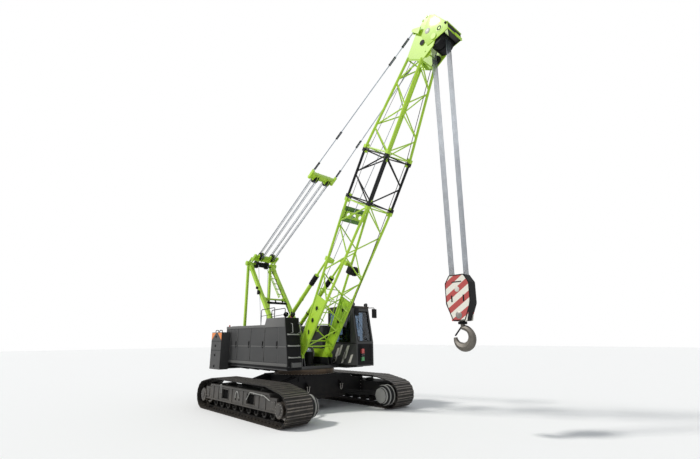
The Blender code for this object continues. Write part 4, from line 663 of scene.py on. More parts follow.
def stripes_along(direction, pitch, first, second, centre=(0, 0, 0)):
    """Two colours in turn across a direction, as on a hook block."""

    def pattern(tree, look):
        place = object_place(tree)
        centred = vectors(tree, "SUBTRACT", place, centre)
        way = vectors(tree, "DOT_PRODUCT", centred, direction)
        turns = maths(tree, "DIVIDE", way, pitch)
        share = maths(tree, "FRACT", turns)
        bands = ramp(tree, share, 0.499, 0.501)
        return blend_colour(tree, bands, first, second)

    return pattern


def painted_below(height, lower):
    """Another colour below a height."""

    def pattern(tree, look):
        place = object_place(tree)
        level = wired(tree, "ShaderNodeSeparateXYZ", {"Vector": place}).outputs["Z"]
        return blend_colour(tree, ramp(tree, level, height - 0.004, height + 0.004), lower, look)

    return pattern


def strands(turns, lay):
    """Helical strands by the rope's own UV map: u round it, v along it in metres."""

    def relief(tree):
        place = wired(tree, "ShaderNodeUVMap", uv_map="along").outputs[0]
        parts = wired(tree, "ShaderNodeSeparateXYZ", {"Vector": place})
        around = maths(tree, "MULTIPLY", parts.outputs["X"], turns)
        onward = maths(tree, "DIVIDE", parts.outputs["Y"], lay)
        both = maths(tree, "ADD", around, onward)
        turn = maths(tree, "MULTIPLY", both, 2 * math.pi)
        return maths(tree, "SINE", turn)

    return relief


def strand_shade(turns, lay, dark):
    """The dark lines between a rope's strands."""

    def pattern(tree, look):
        share = wired(
            tree, "ShaderNodeMapRange", {"Value": strands(turns, lay)(tree), "From Min": -1.0, "From Max": 0.2},
        ).outputs[0]
        return blend_colour(tree, share, dark, look)

    return pattern


def glass(name, tint, roughness=0.03):
    """Clear tinted glass with a faint haze."""
    made, tree, shader = bare_material(name)
    worn = used(tree, WORN, Mottle_Scale=1.5, Spot_Scale=30.0, Spots=0.1)
    haze = tuple(value * 0.92 for value in tint)
    tree.links.new(blend_colour(tree, worn.outputs["Mottle"], tint, haze), shader.inputs["Base Color"])
    roughen(tree, shader, worn, roughness - 0.01, roughness + 0.02)
    shader.inputs["Transmission Weight"].default_value = 1.0
    shader.inputs["IOR"].default_value = 1.45
    return made


LIME, LIME_SHADE = (0.43, 0.67, 0.034), (0.34, 0.57, 0.025)
DARK, DARK_SHADE = (0.013, 0.014, 0.016), (0.008, 0.009, 0.010)
LIME_WEAR = {
    "coat": 0.12, "wear": 0.12, "wear_colour": (0.16, 0.30, 0.03), "ripple": 35.0, "height": 0.05, "mottle": 0.6,
}
MATERIALS = {
    "lime_paint": finish(
        "lime_paint", LIME, LIME_SHADE, 0.44, **LIME_WEAR,
    ),
    "slate_paint": finish(
        "slate_paint", (0.060, 0.060, 0.060), (0.047, 0.048, 0.049), 0.50, gloss=0.25, coat=0.06, wear=0.16,
        wear_colour=(0.09, 0.09, 0.09), dust=0.10, dust_top=2.2,
    ),
    "track_steel": finish(
        "track_steel", (0.060, 0.052, 0.046), (0.028, 0.025, 0.023), 0.52, gloss=0.3, metallic=0.45, wear=0.34,
        wear_colour=(0.20, 0.15, 0.11), dust=0.35, ripple=30.0, height=0.4, mottle=2.5, spot_scale=14.0,
    ),
    "grey_paint": finish(
        "grey_paint", (0.125, 0.118, 0.110), (0.090, 0.085, 0.080), 0.50, gloss=0.35, wear=0.26,
        wear_colour=(0.20, 0.17, 0.13), dust=0.30, dust_top=1.4,
    ),
    "dark_paint": finish(
        "dark_paint", DARK, DARK_SHADE, 0.50, gloss=0.2, wear=0.14, wear_colour=(0.045, 0.042, 0.04), dust=0.05
    ),
    "wire_rope": finish(
        "wire_rope", (0.46, 0.51, 0.58), (0.34, 0.38, 0.44), 0.40, metallic=0.5, ripple=220.0, height=0.6,
        mottle=3.0,
    ),
    "seat_vinyl": finish(
        "seat_vinyl", (0.022, 0.022, 0.024), (0.016, 0.016, 0.017), 0.62, gloss=0.3, ripple=150.0, height=0.3
    ),
}
LIME_PAINT, GREY_PAINT = MATERIALS["lime_paint"], MATERIALS["grey_paint"]
WIRE_ROPE, SEAT_VINYL = MATERIALS["wire_rope"], MATERIALS["seat_vinyl"]
ROPE_FINISH = finish(
    "laid_wire", (0.50, 0.56, 0.64), (0.38, 0.42, 0.49), 0.36, metallic=0.6, mottle=3.0, ripple=300.0, height=0.2,
    pattern=strand_shade(6, 0.09, (0.12, 0.13, 0.15)), relief=strands(6, 0.09),
)
DECK_FINISH = finish(
    "deck_lime_over_black", LIME, LIME_SHADE, 0.36, coat=0.30, wear=0.14, wear_colour=(0.16, 0.30, 0.03), ripple=35.0,
    height=0.06, mottle=0.7, dust=0.25, dust_top=1.9, pattern=painted_below(1.98, DARK),
)
# Near-black steel for the rollers and the block's sheaves; on the far track's frame, whose paint is the near frame's
# grey, it is painted shade.
DARK_STEEL_AND_SHADE = finish(
    "dark_steel_and_painted_shade", (0.022, 0.022, 0.023), (0.014, 0.014, 0.015), 0.52, gloss=0.15, wear=0.22,
    wear_colour=(0.08, 0.07, 0.06), dust=0.12, dust_top=1.3,
)
BARE_STEEL = finish(
    "bare_steel", (0.33, 0.32, 0.30), (0.24, 0.22, 0.20), 0.38, metallic=0.85, wear=0.22,
    wear_colour=(0.16, 0.12, 0.09), ripple=90.0, mottle=4.0, spot_scale=20.0,
)
RUBBER = finish("rubber", (0.012, 0.012, 0.012), (0.009, 0.009, 0.009), 0.72, gloss=0.2, ripple=180.0, height=0.25)
LIGHT_GREY = finish(
    "light_grey_paint", (0.34, 0.34, 0.32), (0.28, 0.28, 0.27), 0.45, wear=0.22, wear_colour=(0.15, 0.14, 0.13),
    dust=0.20,
)
RUSTY_BROWN = finish(
    "greased_brown", (0.11, 0.075, 0.045), (0.07, 0.05, 0.035), 0.42, gloss=0.3, metallic=0.3, wear=0.3,
    wear_colour=(0.03, 0.026, 0.022), mottle=3.0, spot_scale=12.0,
)
ORANGE = finish("orange_paint", (0.78, 0.22, 0.025), (0.66, 0.17, 0.02), 0.40, coat=0.2, wear=0.16,
                wear_colour=(0.20, 0.09, 0.03))
BROWN_BLACK = finish("roof_brown_black", (0.040, 0.030, 0.024), (0.028, 0.021, 0.017), 0.45, gloss=0.3, wear=0.15,
                     wear_colour=(0.09, 0.075, 0.06))
PALE_PAINT = finish("pale_paint", (0.62, 0.60, 0.54), (0.54, 0.52, 0.47), 0.42, wear=0.2,
                    wear_colour=(0.30, 0.28, 0.25))
WINDOW = glass("tinted_window", (0.30, 0.38, 0.47))
LAMP_GLASS = glass("lamp_glass", (0.85, 0.88, 0.90), 0.08)
RED_LENS = finish("red_lens", (0.55, 0.02, 0.015), (0.45, 0.015, 0.01), 0.15, coat=0.8, ripple=80.0, height=0.1)
GREEN_LENS = finish("green_lens", (0.02, 0.30, 0.06), (0.015, 0.24, 0.05), 0.15, coat=0.8, ripple=80.0, height=0.1)

TRACK_GREY = finish(
    "frame_grey", (0.066, 0.063, 0.060), (0.046, 0.044, 0.042), 0.52, gloss=0.3, wear=0.28,
    wear_colour=(0.12, 0.10, 0.08), dust=0.18, dust_top=1.3, mottle=1.6, spot_scale=12.0,
)
TRACK_SHOE = finish(
    "cast_shoe", (0.026, 0.025, 0.025), (0.015, 0.015, 0.015), 0.55, gloss=0.2, metallic=0.30, wear=0.30,
    wear_colour=(0.11, 0.085, 0.07), dust=0.15, ripple=30.0, height=0.45, mottle=2.5, spot_scale=14.0,
)
SHOE_RIB = finish(
    "worn_shoe_rib", (0.17, 0.150, 0.13), (0.10, 0.092, 0.085), 0.42, metallic=0.6, wear=0.35,
    wear_colour=(0.05, 0.04, 0.035), ripple=50.0, height=0.3, mottle=4.0, spot_scale=18.0,
)
# Near-black that is painted shade inside the track frames' windows, and the dark of the counterweight's seams.
BLACK_VOID = finish(
    "shadow_black", (0.006, 0.006, 0.006), (0.004, 0.004, 0.004), 0.75, gloss=0.05, wear=0.10,
    wear_colour=(0.02, 0.018, 0.016),
)
# Near-black that paints shade on the carbody and the ribs under the deck, which are slate; the counterweight's eyes
# use it too.
NEAR_BLACK_AND_SHADE = finish(
    "near_black_painted_shade", (0.009, 0.009, 0.010), (0.006, 0.006, 0.007), 0.50, gloss=0.12, wear=0.16,
    wear_colour=(0.05, 0.045, 0.04), dust=0.08, dust_top=1.4,
)
HOUSE_LIGHT = finish(
    "house_light_grey", (0.125, 0.124, 0.120), (0.100, 0.100, 0.098), 0.46, gloss=0.35, coat=0.1, wear=0.18,
    wear_colour=(0.09, 0.085, 0.08), dust=0.15, dust_top=2.2,
)
BLACK_TRIM = finish(
    "black_trim", (0.009, 0.009, 0.010), (0.006, 0.006, 0.006), 0.60, gloss=0.15, wear=0.12,
    wear_colour=(0.03, 0.028, 0.026),
)
MIRROR = finish("mirror_face", (0.62, 0.66, 0.70), (0.56, 0.60, 0.64), 0.10, metallic=1.0, ripple=4.0, height=0.02)
CREAM = (0.72, 0.70, 0.62)
HAZARD = finish(
    "red_and_cream_stripes", (0.50, 0.07, 0.06), (0.42, 0.05, 0.045), 0.38, coat=0.25, wear=0.16,
    wear_colour=(0.16, 0.06, 0.05), mottle=3.0, spot_scale=14.0,
    pattern=stripes_along((-0.55, 0, 0.835), 0.34, (0.40, 0.05, 0.045), CREAM, HOOK_TOP),
)
HOOK_STEEL = finish(
    "forged_hook", (0.165, 0.150, 0.130), (0.105, 0.095, 0.083), 0.48, metallic=0.45, wear=0.30,
    wear_colour=(0.05, 0.045, 0.04), ripple=26.0, height=0.35, mottle=3.0, spot_scale=14.0,
)
DEEP_GREEN = (0.075, 0.20, 0.022)
DARK_GREEN = finish(
    "dark_green_plate", DEEP_GREEN, (0.055, 0.16, 0.016), 0.46, coat=0.1, wear=0.16, wear_colour=(0.03, 0.05, 0.02),
)


def rear_plate(low, high, least):
    """Dark green on the boom's rear face between two distances from the foot pin."""

    def pattern(tree, look):
        place = object_place(tree)
        centred = vectors(tree, "SUBTRACT", place, FOOT_PIN)
        way, out = ON_BOOM.to_3x3().col[0], ON_BOOM.to_3x3().col[2]
        along = vectors(tree, "DOT_PRODUCT", centred, way)
        rise = vectors(tree, "DOT_PRODUCT", centred, out)
        within = maths(tree, "COMPARE", along, (low + high) / 2, (high - low) / 2)
        above = maths(tree, "GREATER_THAN", rise, least)
        share = maths(tree, "MULTIPLY", within, above)
        return blend_colour(tree, share, look, DEEP_GREEN)

    return pattern


FOOT_FINISH = finish(
    "lime_with_green_plate", LIME, LIME_SHADE, 0.44, **LIME_WEAR, pattern=rear_plate(5.82, 6.18, 0.60),
)

SLOTS = {
    finish_of.name: slot
    for slot, finishes in (
        ("dark_paint", (BLACK_TRIM, BLACK_VOID, NEAR_BLACK_AND_SHADE, RUBBER, BROWN_BLACK)),
        ("grey_paint", (GREY_PAINT, TRACK_GREY, LIGHT_GREY)), ("slate_paint", (HOUSE_LIGHT,)),
        ("track_steel", (TRACK_SHOE, SHOE_RIB, DARK_STEEL_AND_SHADE, BARE_STEEL, RUSTY_BROWN)),
        ("lime_paint", (LIME_PAINT, ORANGE, DARK_GREEN)), ("wire_rope", (WIRE_ROPE,)), ("seat_vinyl", (SEAT_VINYL,)),
    )
    for finish_of in finishes
}
for part, thing in frame["nodes"].items():
    for place in thing.material_slots:
        place.material = MATERIALS[SLOT_OF[part]]


# Places on the crane, from the slewing axis


def deck_box(node):
    """A node's lowest and highest corners, measured from the slewing axis."""
    low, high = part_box(node)
    return Vector(low) - ON_DECK.translation, Vector(high) - ON_DECK.translation


WHEEL_BASE = 5.60
END_WHEELS = (-WHEEL_BASE / 2, WHEEL_BASE / 2)
END_RADIUS = 0.54
SHOULDER_X = 1.95
SHOULDER_RADIUS = 0.45
SHOE_COUNT = 64
LOOP_LOW, LOOP_HIGH = deck_box("track_loop_left")
TRACK_MIDDLE = (LOOP_LOW.y + LOOP_HIGH.y) / 2
SHOE_WIDTH = LOOP_HIGH.y - LOOP_LOW.y
TRACK_HEIGHT = LOOP_HIGH.z
DRIVE_FACE = TRACK_MIDDLE - 0.425 - 0.42  # inner face of the travel drive
END_BOXES = (-2.45, 2.42)  # middles of the raised boxes at a frame's ends
DRIVE_RIBS = 8
ARM_X = 0.98  # middle of the carbody's arms
LUG_X, LUG_Y = 1.40, 0.85
FRAME_FACE = deck_box("track_frame_left")[1].y
FRAME_BOTTOM, FRAME_TOP = 0.42, 0.98
WINDOW_X, WINDOW_Z = 0.96, 0.70
WINDOW_HALF_WIDTH, WINDOW_HALF_HEIGHT = 0.26, 0.17
ROLLER_COUNT, ROLLER_SPAN, ROLLER_Z = 9, 4.20, 0.2803
HOUSE_SIDE = 1.53
HOUSE_INNER = 0.84
HOUSE_REAR, HOUSE_FRONT = -4.30, 0.92
HOUSE_BASE, HOUSE_ROOF, HUMP_ROOF = 1.67, 3.31, 3.58
HUMP_REAR, HUMP_FRONT = -0.72, 0.64
DOOR_LOW, DOOR_HIGH = 1.82, 3.20
SKIRT_LOW, SKIRT_HIGH = 1.69, 1.80
STRIP_LOW, STRIP_HIGH = 2.42, 2.46  # the belt strip along the house
DOOR_EDGES = (-3.85, -3.18, -2.00, -0.85, 0.24)
WEIGHT_REAR, WEIGHT_WING, WEIGHT_HALF = -5.03, -3.90, 1.97
WEIGHT_HIGH = 3.06
CAB_REAR, CAB_FRONT, CAB_TOP_FRONT = 0.16, 2.02, 1.74
CAB_INNER, CAB_OUTER = 1.15, 2.15
CAB_LOW, CAB_SILL, CAB_HEAD, CAB_HIGH = 1.62, 2.58, 3.88, 4.08
CAB_WALL = 0.05
CAB_DOOR_REAR, CAB_DOOR_FRONT = 0.62, 1.42  # edges of the window in the cab's door
WEB_OUTER = 0.796
WEB_TOP = 2.34
GANTRY_FOOT, GANTRY_TOP = Vector((-0.95, 0, 2.52)), Vector((-4.00, 0, 6.52))
GANTRY_HALF = 0.66
MAIN_DRUM_X, AUXILIARY_DRUM_X, LUFFING_DRUM_X = -0.35, -1.95, -3.10
DRUM_Z, COIL_RADIUS, COIL_TURNS = 2.10, 0.245, 30
BACKSTOP_Y = 0.42
SPREADERS = (-7.30, -12.62)  # along the suspension line, from the boom's end
SPREADER_SHEAVES = (0.285, 0.345, 0.385)
PENDANT_LEAN = 0.21 / 7.30
GUIDE_S = 12.66  # the head's guide sheave, from the foot pin
FALL_YS = [-0.14 + 0.07 * index for index in range(5)]
BLOCK_TOP = -9.02 + 0.30  # below the head's axle


# Undercarriage


def belt_path(circles):
    """The outline round circles (x, z, radius), taken anticlockwise."""
    count = len(circles)
    legs = []
    for index, (x0, z0, r0) in enumerate(circles):
        x1, z1, r1 = circles[(index + 1) % count]
        heading = math.atan2(z1 - z0, x1 - x0)
        legs.append(heading - math.pi / 2 + math.asin((r0 - r1) / math.hypot(x1 - x0, z1 - z0)))
    path = []
    for index, (x, z, radius) in enumerate(circles):
        start, end = legs[index - 1], legs[index]
        while end < start:
            end += 2 * math.pi
        path += arc(x, z, radius, start, end, BELT_STEPS)
    return path


def belt_mesh(middle):
    """A track's closed path, and the length of one shoe on it."""
    half, high = WHEEL_BASE / 2, TRACK_HEIGHT - SHOULDER_RADIUS
    circles = [
        (half, END_RADIUS, END_RADIUS), (SHOULDER_X, high, SHOULDER_RADIUS), (-SHOULDER_X, high, SHOULDER_RADIUS),
        (-half, END_RADIUS, END_RADIUS),
    ]
    path = belt_path(circles)
    mesh = bpy.data.meshes.new("belt")
    count = len(path)
    edges = [(index, (index + 1) % count) for index in range(count)]
    mesh.from_pydata([(x, middle, z) for x, z in path], edges, [])
    length = sum(math.dist(path[start], path[end]) for start, end in edges)
    return mesh, length / SHOE_COUNT


def shoe_pad(pitch):
    """A cast shoe with two flat ribs; X runs along the belt and Z inwards."""
    half = 0.47 * pitch
    shares = ((1.0, 0.036), (1.0, 0.015), (0.84, 0.004), (0.44, 0.004), (0.34, 0.013))
    outline = [(-half * share, z) for share, z in shares] + [(half * share, z) for share, z in reversed(shares)]
    shapes = [side_plate(outline, 0, SHOE_WIDTH - 0.006, 0.002)]
    for sign in (-1, 1):
        shapes += [
            box((-half, sign * y - 0.014, 0.030), (half * 1.15, sign * y + 0.014, 0.118), 0.004)
            for y in (0.13, 0.165)
        ]
        shapes.append(box((-0.03, sign * 0.30 - 0.02, 0.03), (0.03, sign * 0.30 + 0.02, 0.07), 0.006))
    return mesh_of(shapes)


def shoe_ribs(pitch):
    """The bright worn faces of a shoe's ribs."""
    half = 0.47 * pitch
    low, high = 0.46 * half, 0.82 * half
    width = SHOE_WIDTH / 2 - 0.02
    return mesh_of([box((sign * low, -width, 0.0005), (sign * high, width, 0.006)) for sign in (-1, 1)])


def tracks():
    """Both tracks: shoes and their bright ribs on the belts, frames, rollers and wheels."""
    for side, sign in SIDES:
        middle = sign * TRACK_MIDDLE
        path, pitch = belt_mesh(middle)
        for name, part, material in (
            ("track_shoes", shoe_pad(pitch), TRACK_SHOE), ("track_shoe_ribs", shoe_ribs(pitch), SHOE_RIB),
        ):
            mesh = grown(BELT, path.copy(), part, material, Count=SHOE_COUNT)
            mesh.transform(ON_DECK)
            stands_for = [f"track_loop_{side}"] if name == "track_shoes" else ()
            dressed(f"{name}_{side}", "undercarriage", material, mesh, stands_for=stands_for)
        track_frame(side, sign)
        end_wheels(side, sign)
    bolt_circles()


def track_frame(side, sign):
    """Rails, window rims, ribs and pipes on the frame's outer face, painted shade inside its windows, and its
    rollers.
    """
    face = FRAME_FACE

    def out(low, high, near, far, bevel=0.004):
        return box((low[0], sign * (face + near), low[1]), (high[0], sign * (face + far), high[1]), bevel)

    shapes = [
        out((-2.66, FRAME_BOTTOM), (2.62, 0.46), -0.01, 0.030), out((-2.20, 0.935), (2.20, FRAME_TOP), -0.01, 0.030),
        out((-2.20, FRAME_TOP - 0.01), (2.20, FRAME_TOP + 0.012), -0.30, 0.030),
    ]
    shapes += [
        out((x - 0.014, 0.45), (x + 0.014, 0.94), -0.01, 0.020)
        for x in (-1.95, -1.52, -0.42, 0.42, 1.52, 1.95)
    ]
    for x in (-WINDOW_X, WINDOW_X):
        low, high = x - WINDOW_HALF_WIDTH - 0.012, x + WINDOW_HALF_WIDTH + 0.012
        bottom, top = WINDOW_Z - WINDOW_HALF_HEIGHT - 0.012, WINDOW_Z + WINDOW_HALF_HEIGHT + 0.012
        corners = [(corner_x, sign * (face + 0.006), z) for corner_x, z in rectangle(low, high, bottom, top)]
        shapes += frame_bars(corners, 0.024, 0.024, 0.004)
    shapes += [out((x - 0.13, 0.50), (x + 0.13, 0.80), -0.01, 0.018, 0.006) for x in END_BOXES]
    piece(f"track_frame_trim_{side}", "undercarriage", TRACK_GREY, shapes)

    # Near-black sheets set back inside the two windows: painted shade in the recesses.
    dark = [
        out(
            (x - WINDOW_HALF_WIDTH, WINDOW_Z - WINDOW_HALF_HEIGHT),
            (x + WINDOW_HALF_WIDTH, WINDOW_Z + WINDOW_HALF_HEIGHT), -0.0595, -0.054,
        )
        for x in (-WINDOW_X, WINDOW_X)
    ]
    dark += [cross_rod(x, sign * (face - 0.01), sign * (face + 0.003), 0.60, 0.040, 20) for x in (-0.12, 0.14)]
    piece(f"track_frame_recess_{side}", "undercarriage", BLACK_VOID, dark)

    def pipe_at(points, radius, stand):
        return pipe([(x, sign * (face + stand), z) for x, z in points], radius, 0.05)

    light = [
        pipe_at([(-0.11, 0.68), (-0.10, 0.80), (0.0, 0.90), (0.11, 0.80), (0.12, 0.68)], 0.017, 0.025),
        pipe_at([(-1.36, 0.72), (-1.36, 1.02), (-1.24, 1.02), (-1.24, 0.72)], 0.015, 0.022),
        pipe_at([(0.72, 0.66), (0.95, 0.93), (1.90, 0.90), (2.25, 0.78)], 0.015, 0.038),
    ]
    light += [cross_rod(x, sign * (face - 0.01), sign * (face + 0.035), 0.68, 0.026, 12) for x in (-0.11, 0.12)]
    light += [
        out((x - 0.02, z - 0.028), (x + 0.02, z + 0.028), -0.01, 0.056, 0.004)
        for x, z in ((1.25, 0.918), (1.75, 0.904))
    ]
    piece(f"track_frame_pipes_{side}", "undercarriage", LIGHT_GREY, light)

    rollers = []
    profile = [(0, -0.233), (0.075, -0.233), (0.085, -0.222), (0.146, -0.216), (0.146, -0.196), (0.125, -0.180)]
    profile += [(radius, -y) for radius, y in reversed(profile)]
    pitch = ROLLER_SPAN / (ROLLER_COUNT - 1)
    for index in range(ROLLER_COUNT):
        x = index * pitch - ROLLER_SPAN / 2
        rollers.append(wheel(profile, 28, x, sign * TRACK_MIDDLE, ROLLER_Z))
        for edge in (-1, 1):
            y = sign * TRACK_MIDDLE + edge * 0.258
            rollers += [
                box((x - 0.065, y - 0.022, 0.225), (x + 0.065, y + 0.022, FRAME_BOTTOM + 0.01), 0.008),
                cross_rod(x, y, y + edge * 0.034, ROLLER_Z, 0.040, 6, 0.004),
            ]
    piece(f"track_rollers_{side}", "undercarriage", DARK_STEEL_AND_SHADE, rollers)


def end_wheels(side, sign):
    """Caps on the end wheels' hubs, and the drive's ribs, plug and hoses."""
    profile = [(0, 0), (0.225, 0), (0.235, 0.006), (0.235, 0.012), (0.13, 0.018), (0.11, 0.046), (0, 0.050)]
    caps = [wheel(profile, 40, x, sign * (FRAME_FACE + 0.028), END_RADIUS, sign) for x in END_WHEELS]
    piece(f"hub_caps_{side}", "undercarriage", TRACK_GREY, caps)

    rims = []
    rim = [(0.30, -0.11), (0.365, -0.085), (0.365, 0.085), (0.30, 0.11)]
    disc = [(0.10, 0), (0.33, 0.012), (0.34, 0.03), (0.10, 0.05)]
    for x in END_WHEELS:
        rims.append(wheel(rim, 40, x, sign * TRACK_MIDDLE, END_RADIUS, closed=True))
        for edge in (-1, 1):
            rims.append(wheel(disc, 40, x, sign * TRACK_MIDDLE + edge * 0.165, END_RADIUS, edge, closed=True))
    piece(f"end_wheel_rims_{side}", "undercarriage", BARE_STEEL, rims)

    x = WHEEL_BASE / 2
    cover = []
    profile = [(0, 0.13), (0.12, 0.13), (0.15, 0.115), (0.27, 0.105), (0.30, 0.085), (0.31, -0.005), (0, -0.005)]
    cover.append(wheel(profile, 48, x, sign * DRIVE_FACE, END_RADIUS, -sign))
    for start in (0.06, 0.30):
        band = [(0.365, start), (0.388, start + 0.01), (0.388, start + 0.05), (0.365, start + 0.06)]
        cover.append(wheel(band, 48, x, sign * DRIVE_FACE, END_RADIUS, sign, closed=True))
    for step in range(DRIVE_RIBS):
        turn = 2 * math.pi * step / DRIVE_RIBS
        place = on_y(x, sign * DRIVE_FACE, END_RADIUS, -sign) @ Matrix.Rotation(turn, 4, "Z")
        cover.append(moved(box((0.13, -0.010, 0.06), (0.285, 0.010, 0.122), 0.004), place))
    piece(f"travel_drive_cover_{side}", "undercarriage", LIGHT_GREY, cover)

    hoses = []
    y = sign * (DRIVE_FACE + 0.14)
    for index in range(3):
        z = 0.62 + 0.07 * index
        hoses.append(
            pipe(
                [(1.20, sign * 0.95, z), (1.75, sign * 1.10, z - 0.05), (2.10, y, z - 0.12), (x - 0.33, y, z - 0.08)],
                0.018, 0.3,
            )
        )
    piece(f"travel_hoses_{side}", "undercarriage", RUBBER, hoses)


def bolt_circles():
    """All bolts of the undercarriage."""
    paths = []
    for _, sign in SIDES:
        paths += [
            ring((x, sign * (FRAME_FACE + 0.040), END_RADIUS), (0, sign, 0), 0.185, 12, 0.026)
            for x in END_WHEELS
        ]
        place = (WHEEL_BASE / 2, sign * (DRIVE_FACE - 0.10), END_RADIUS)
        paths.append(ring(place, (0, -sign, 0), 0.245, 16, 0.026))
        for x in (-ARM_X, ARM_X):
            for edge in (-0.265, 0.265):
                start, end = (x + edge, sign * 2.12, 0.58), (x + edge, sign * 2.12, 1.11)
                paths.append(row(start, end, (0, -sign, 0), 5, 0.034))
        for x in END_BOXES:
            for z in (0.55, 0.75):
                start, end = (x - 0.09, sign * (FRAME_FACE + 0.018), z), (x + 0.09, sign * (FRAME_FACE + 0.018), z)
                paths.append(row(start, end, (0, sign, 0), 3, 0.022))
    spaced("undercarriage_bolts", BARE_STEEL, bolt_head(), paths, "undercarriage")


def carbody():
    """Flanges and webs on the carbody's arms, lifting lugs with shackles, and the ring's seat."""
    shapes = []
    for x in (-ARM_X, ARM_X):
        for sign in (-1, 1):
            shapes.append(box((x - 0.31, sign * 2.12, 0.50), (x + 0.31, sign * 2.205, 1.18), 0.010))
            for edge in (-0.22, 0.0, 0.22):
                outline = [(sign * 1.19, 1.13), (sign * 1.95, 1.13), (sign * 1.19, 1.33)]
                shapes.append(cross_plate(outline, x + edge, 0.024))
            for edge in (-0.255, 0.255):
                near, far = (x + edge - 0.012, sign * 1.20, 0.53), (x + edge + 0.012, sign * 2.13, 1.16)
                shapes.append(box(near, far, 0.003))
    for sign in (-1, 1):
        for low, high in ((0.50, 0.58), (1.24, 1.33)):
            shapes.append(box((sign * 1.245, -0.95, low), (sign * 1.275, 0.95, high), 0.006))
        for y in (-LUG_Y, LUG_Y):
            lug = [(sign * 1.24, 0.78), (sign * 1.24, 1.14)] + [
                (sign * px, pz)
                for px, pz in arc(1.34, 0.96, 0.10, math.pi / 2, -math.pi / 2, 8)
            ]
            shapes.append(side_plate(lug, y, 0.05, 0.004))
    profile = [(1.19, 1.335), (1.33, 1.335), (1.33, 1.365), (1.19, 1.365)]
    shapes.append(turned(profile, 72, closed=True))
    # The carbody's flanges, webs, lugs and seat are slate; their near-black is painted shade.
    piece("carbody_ribs", "undercarriage", NEAR_BLACK_AND_SHADE, shapes, slot="slate_paint")

    shackles = []
    for sign in (-1, 1):
        for y in (-LUG_Y, LUG_Y):
            path = ((-0.05, 0.95), (-0.05, 0.80), (0, 0.73), (0.05, 0.80), (0.05, 0.95))
            shackles.append(pipe([(sign * LUG_X, y + off, z) for off, z in path], 0.016, 0.05))
            shackles.append(cross_rod(sign * LUG_X, y - 0.08, y + 0.08, 0.95, 0.020, 12))
    piece("carbody_shackles", "undercarriage", BARE_STEEL, shackles)


def slewing_ring():
    """Teeth, seal band and bolts of the slewing ring."""
    tooth = box((-0.016, -0.018, -0.045), (0.016, 0.014, 0.045), 0.004)
    path = [ring((0, 0, 1.395), (0, 0, 1), 1.225, 112, 1.0, 96)]
    spaced("slewing_teeth", RUSTY_BROWN, [tooth], path, "undercarriage")
    seal = [(1.20, 1.452), (1.245, 1.452), (1.255, 1.50), (1.245, 1.548), (1.20, 1.548)]
    piece("slewing_ring_band", "upperworks", RUSTY_BROWN, [turned(seal, 96, closed=True)])
    paths = [ring((0, 0, 1.366), (0, 0, 1), 1.285, 60, 0.026, 96)]
    spaced("slewing_bolts", BARE_STEEL, bolt_head(), paths, "undercarriage")


# Machinery house and deck


def deck():
    """Ribs and cross members of the upper frame, and the caps of the boom's foot pins."""
    shapes = [box((0.900, -1.52, 1.555), (0.935, -0.84, 1.668), 0.006)]
    for sign in (-1, 1):
        for x in (-3.9, -3.0, -2.1, -1.2, -0.3):
            outline = [(sign * 0.90, 1.556), (sign * 1.50, 1.556), (sign * 1.50, 1.50), (sign * 0.95, 1.40)]
            shapes.append(cross_plate(outline, x, 0.02))
    shapes.append(box((-4.25, -1.54, 1.60), (0.93, -1.515, 1.72), 0.006))
    # The ribs under the deck get near-black: painted shade.
    piece("deck_ribs", "upperworks", NEAR_BLACK_AND_SHADE, shapes)

    members = [box((x - 0.02, -0.71, 1.665), (x + 0.02, 0.71, 1.78), 0.004) for x in (-3.6, -2.6, -1.45, -0.55)]
    for sign in (-1, 1):
        y = sign * 0.776
        members.append(box((-4.20, y - 0.035, WEB_TOP - 0.004), (0.55, y + 0.035, WEB_TOP + 0.0005)))
    members.append(cross_rod(-4.18, -0.72, 0.72, 2.10, 0.09, 24))
    piece("deck_cross_members", "upperworks", BLACK_TRIM, members)

    pins = []
    for sign in (-1, 1):
        profile = [(0, 0), (0.095, 0), (0.10, 0.006), (0.10, 0.022), (0.05, 0.03), (0.045, 0.05), (0, 0.05)]
        pins.append(wheel(profile, 32, 0.614, sign * WEB_OUTER, 2.098, sign))
    piece("foot_pin_caps", "upperworks", BARE_STEEL, pins, slot="grey_paint")


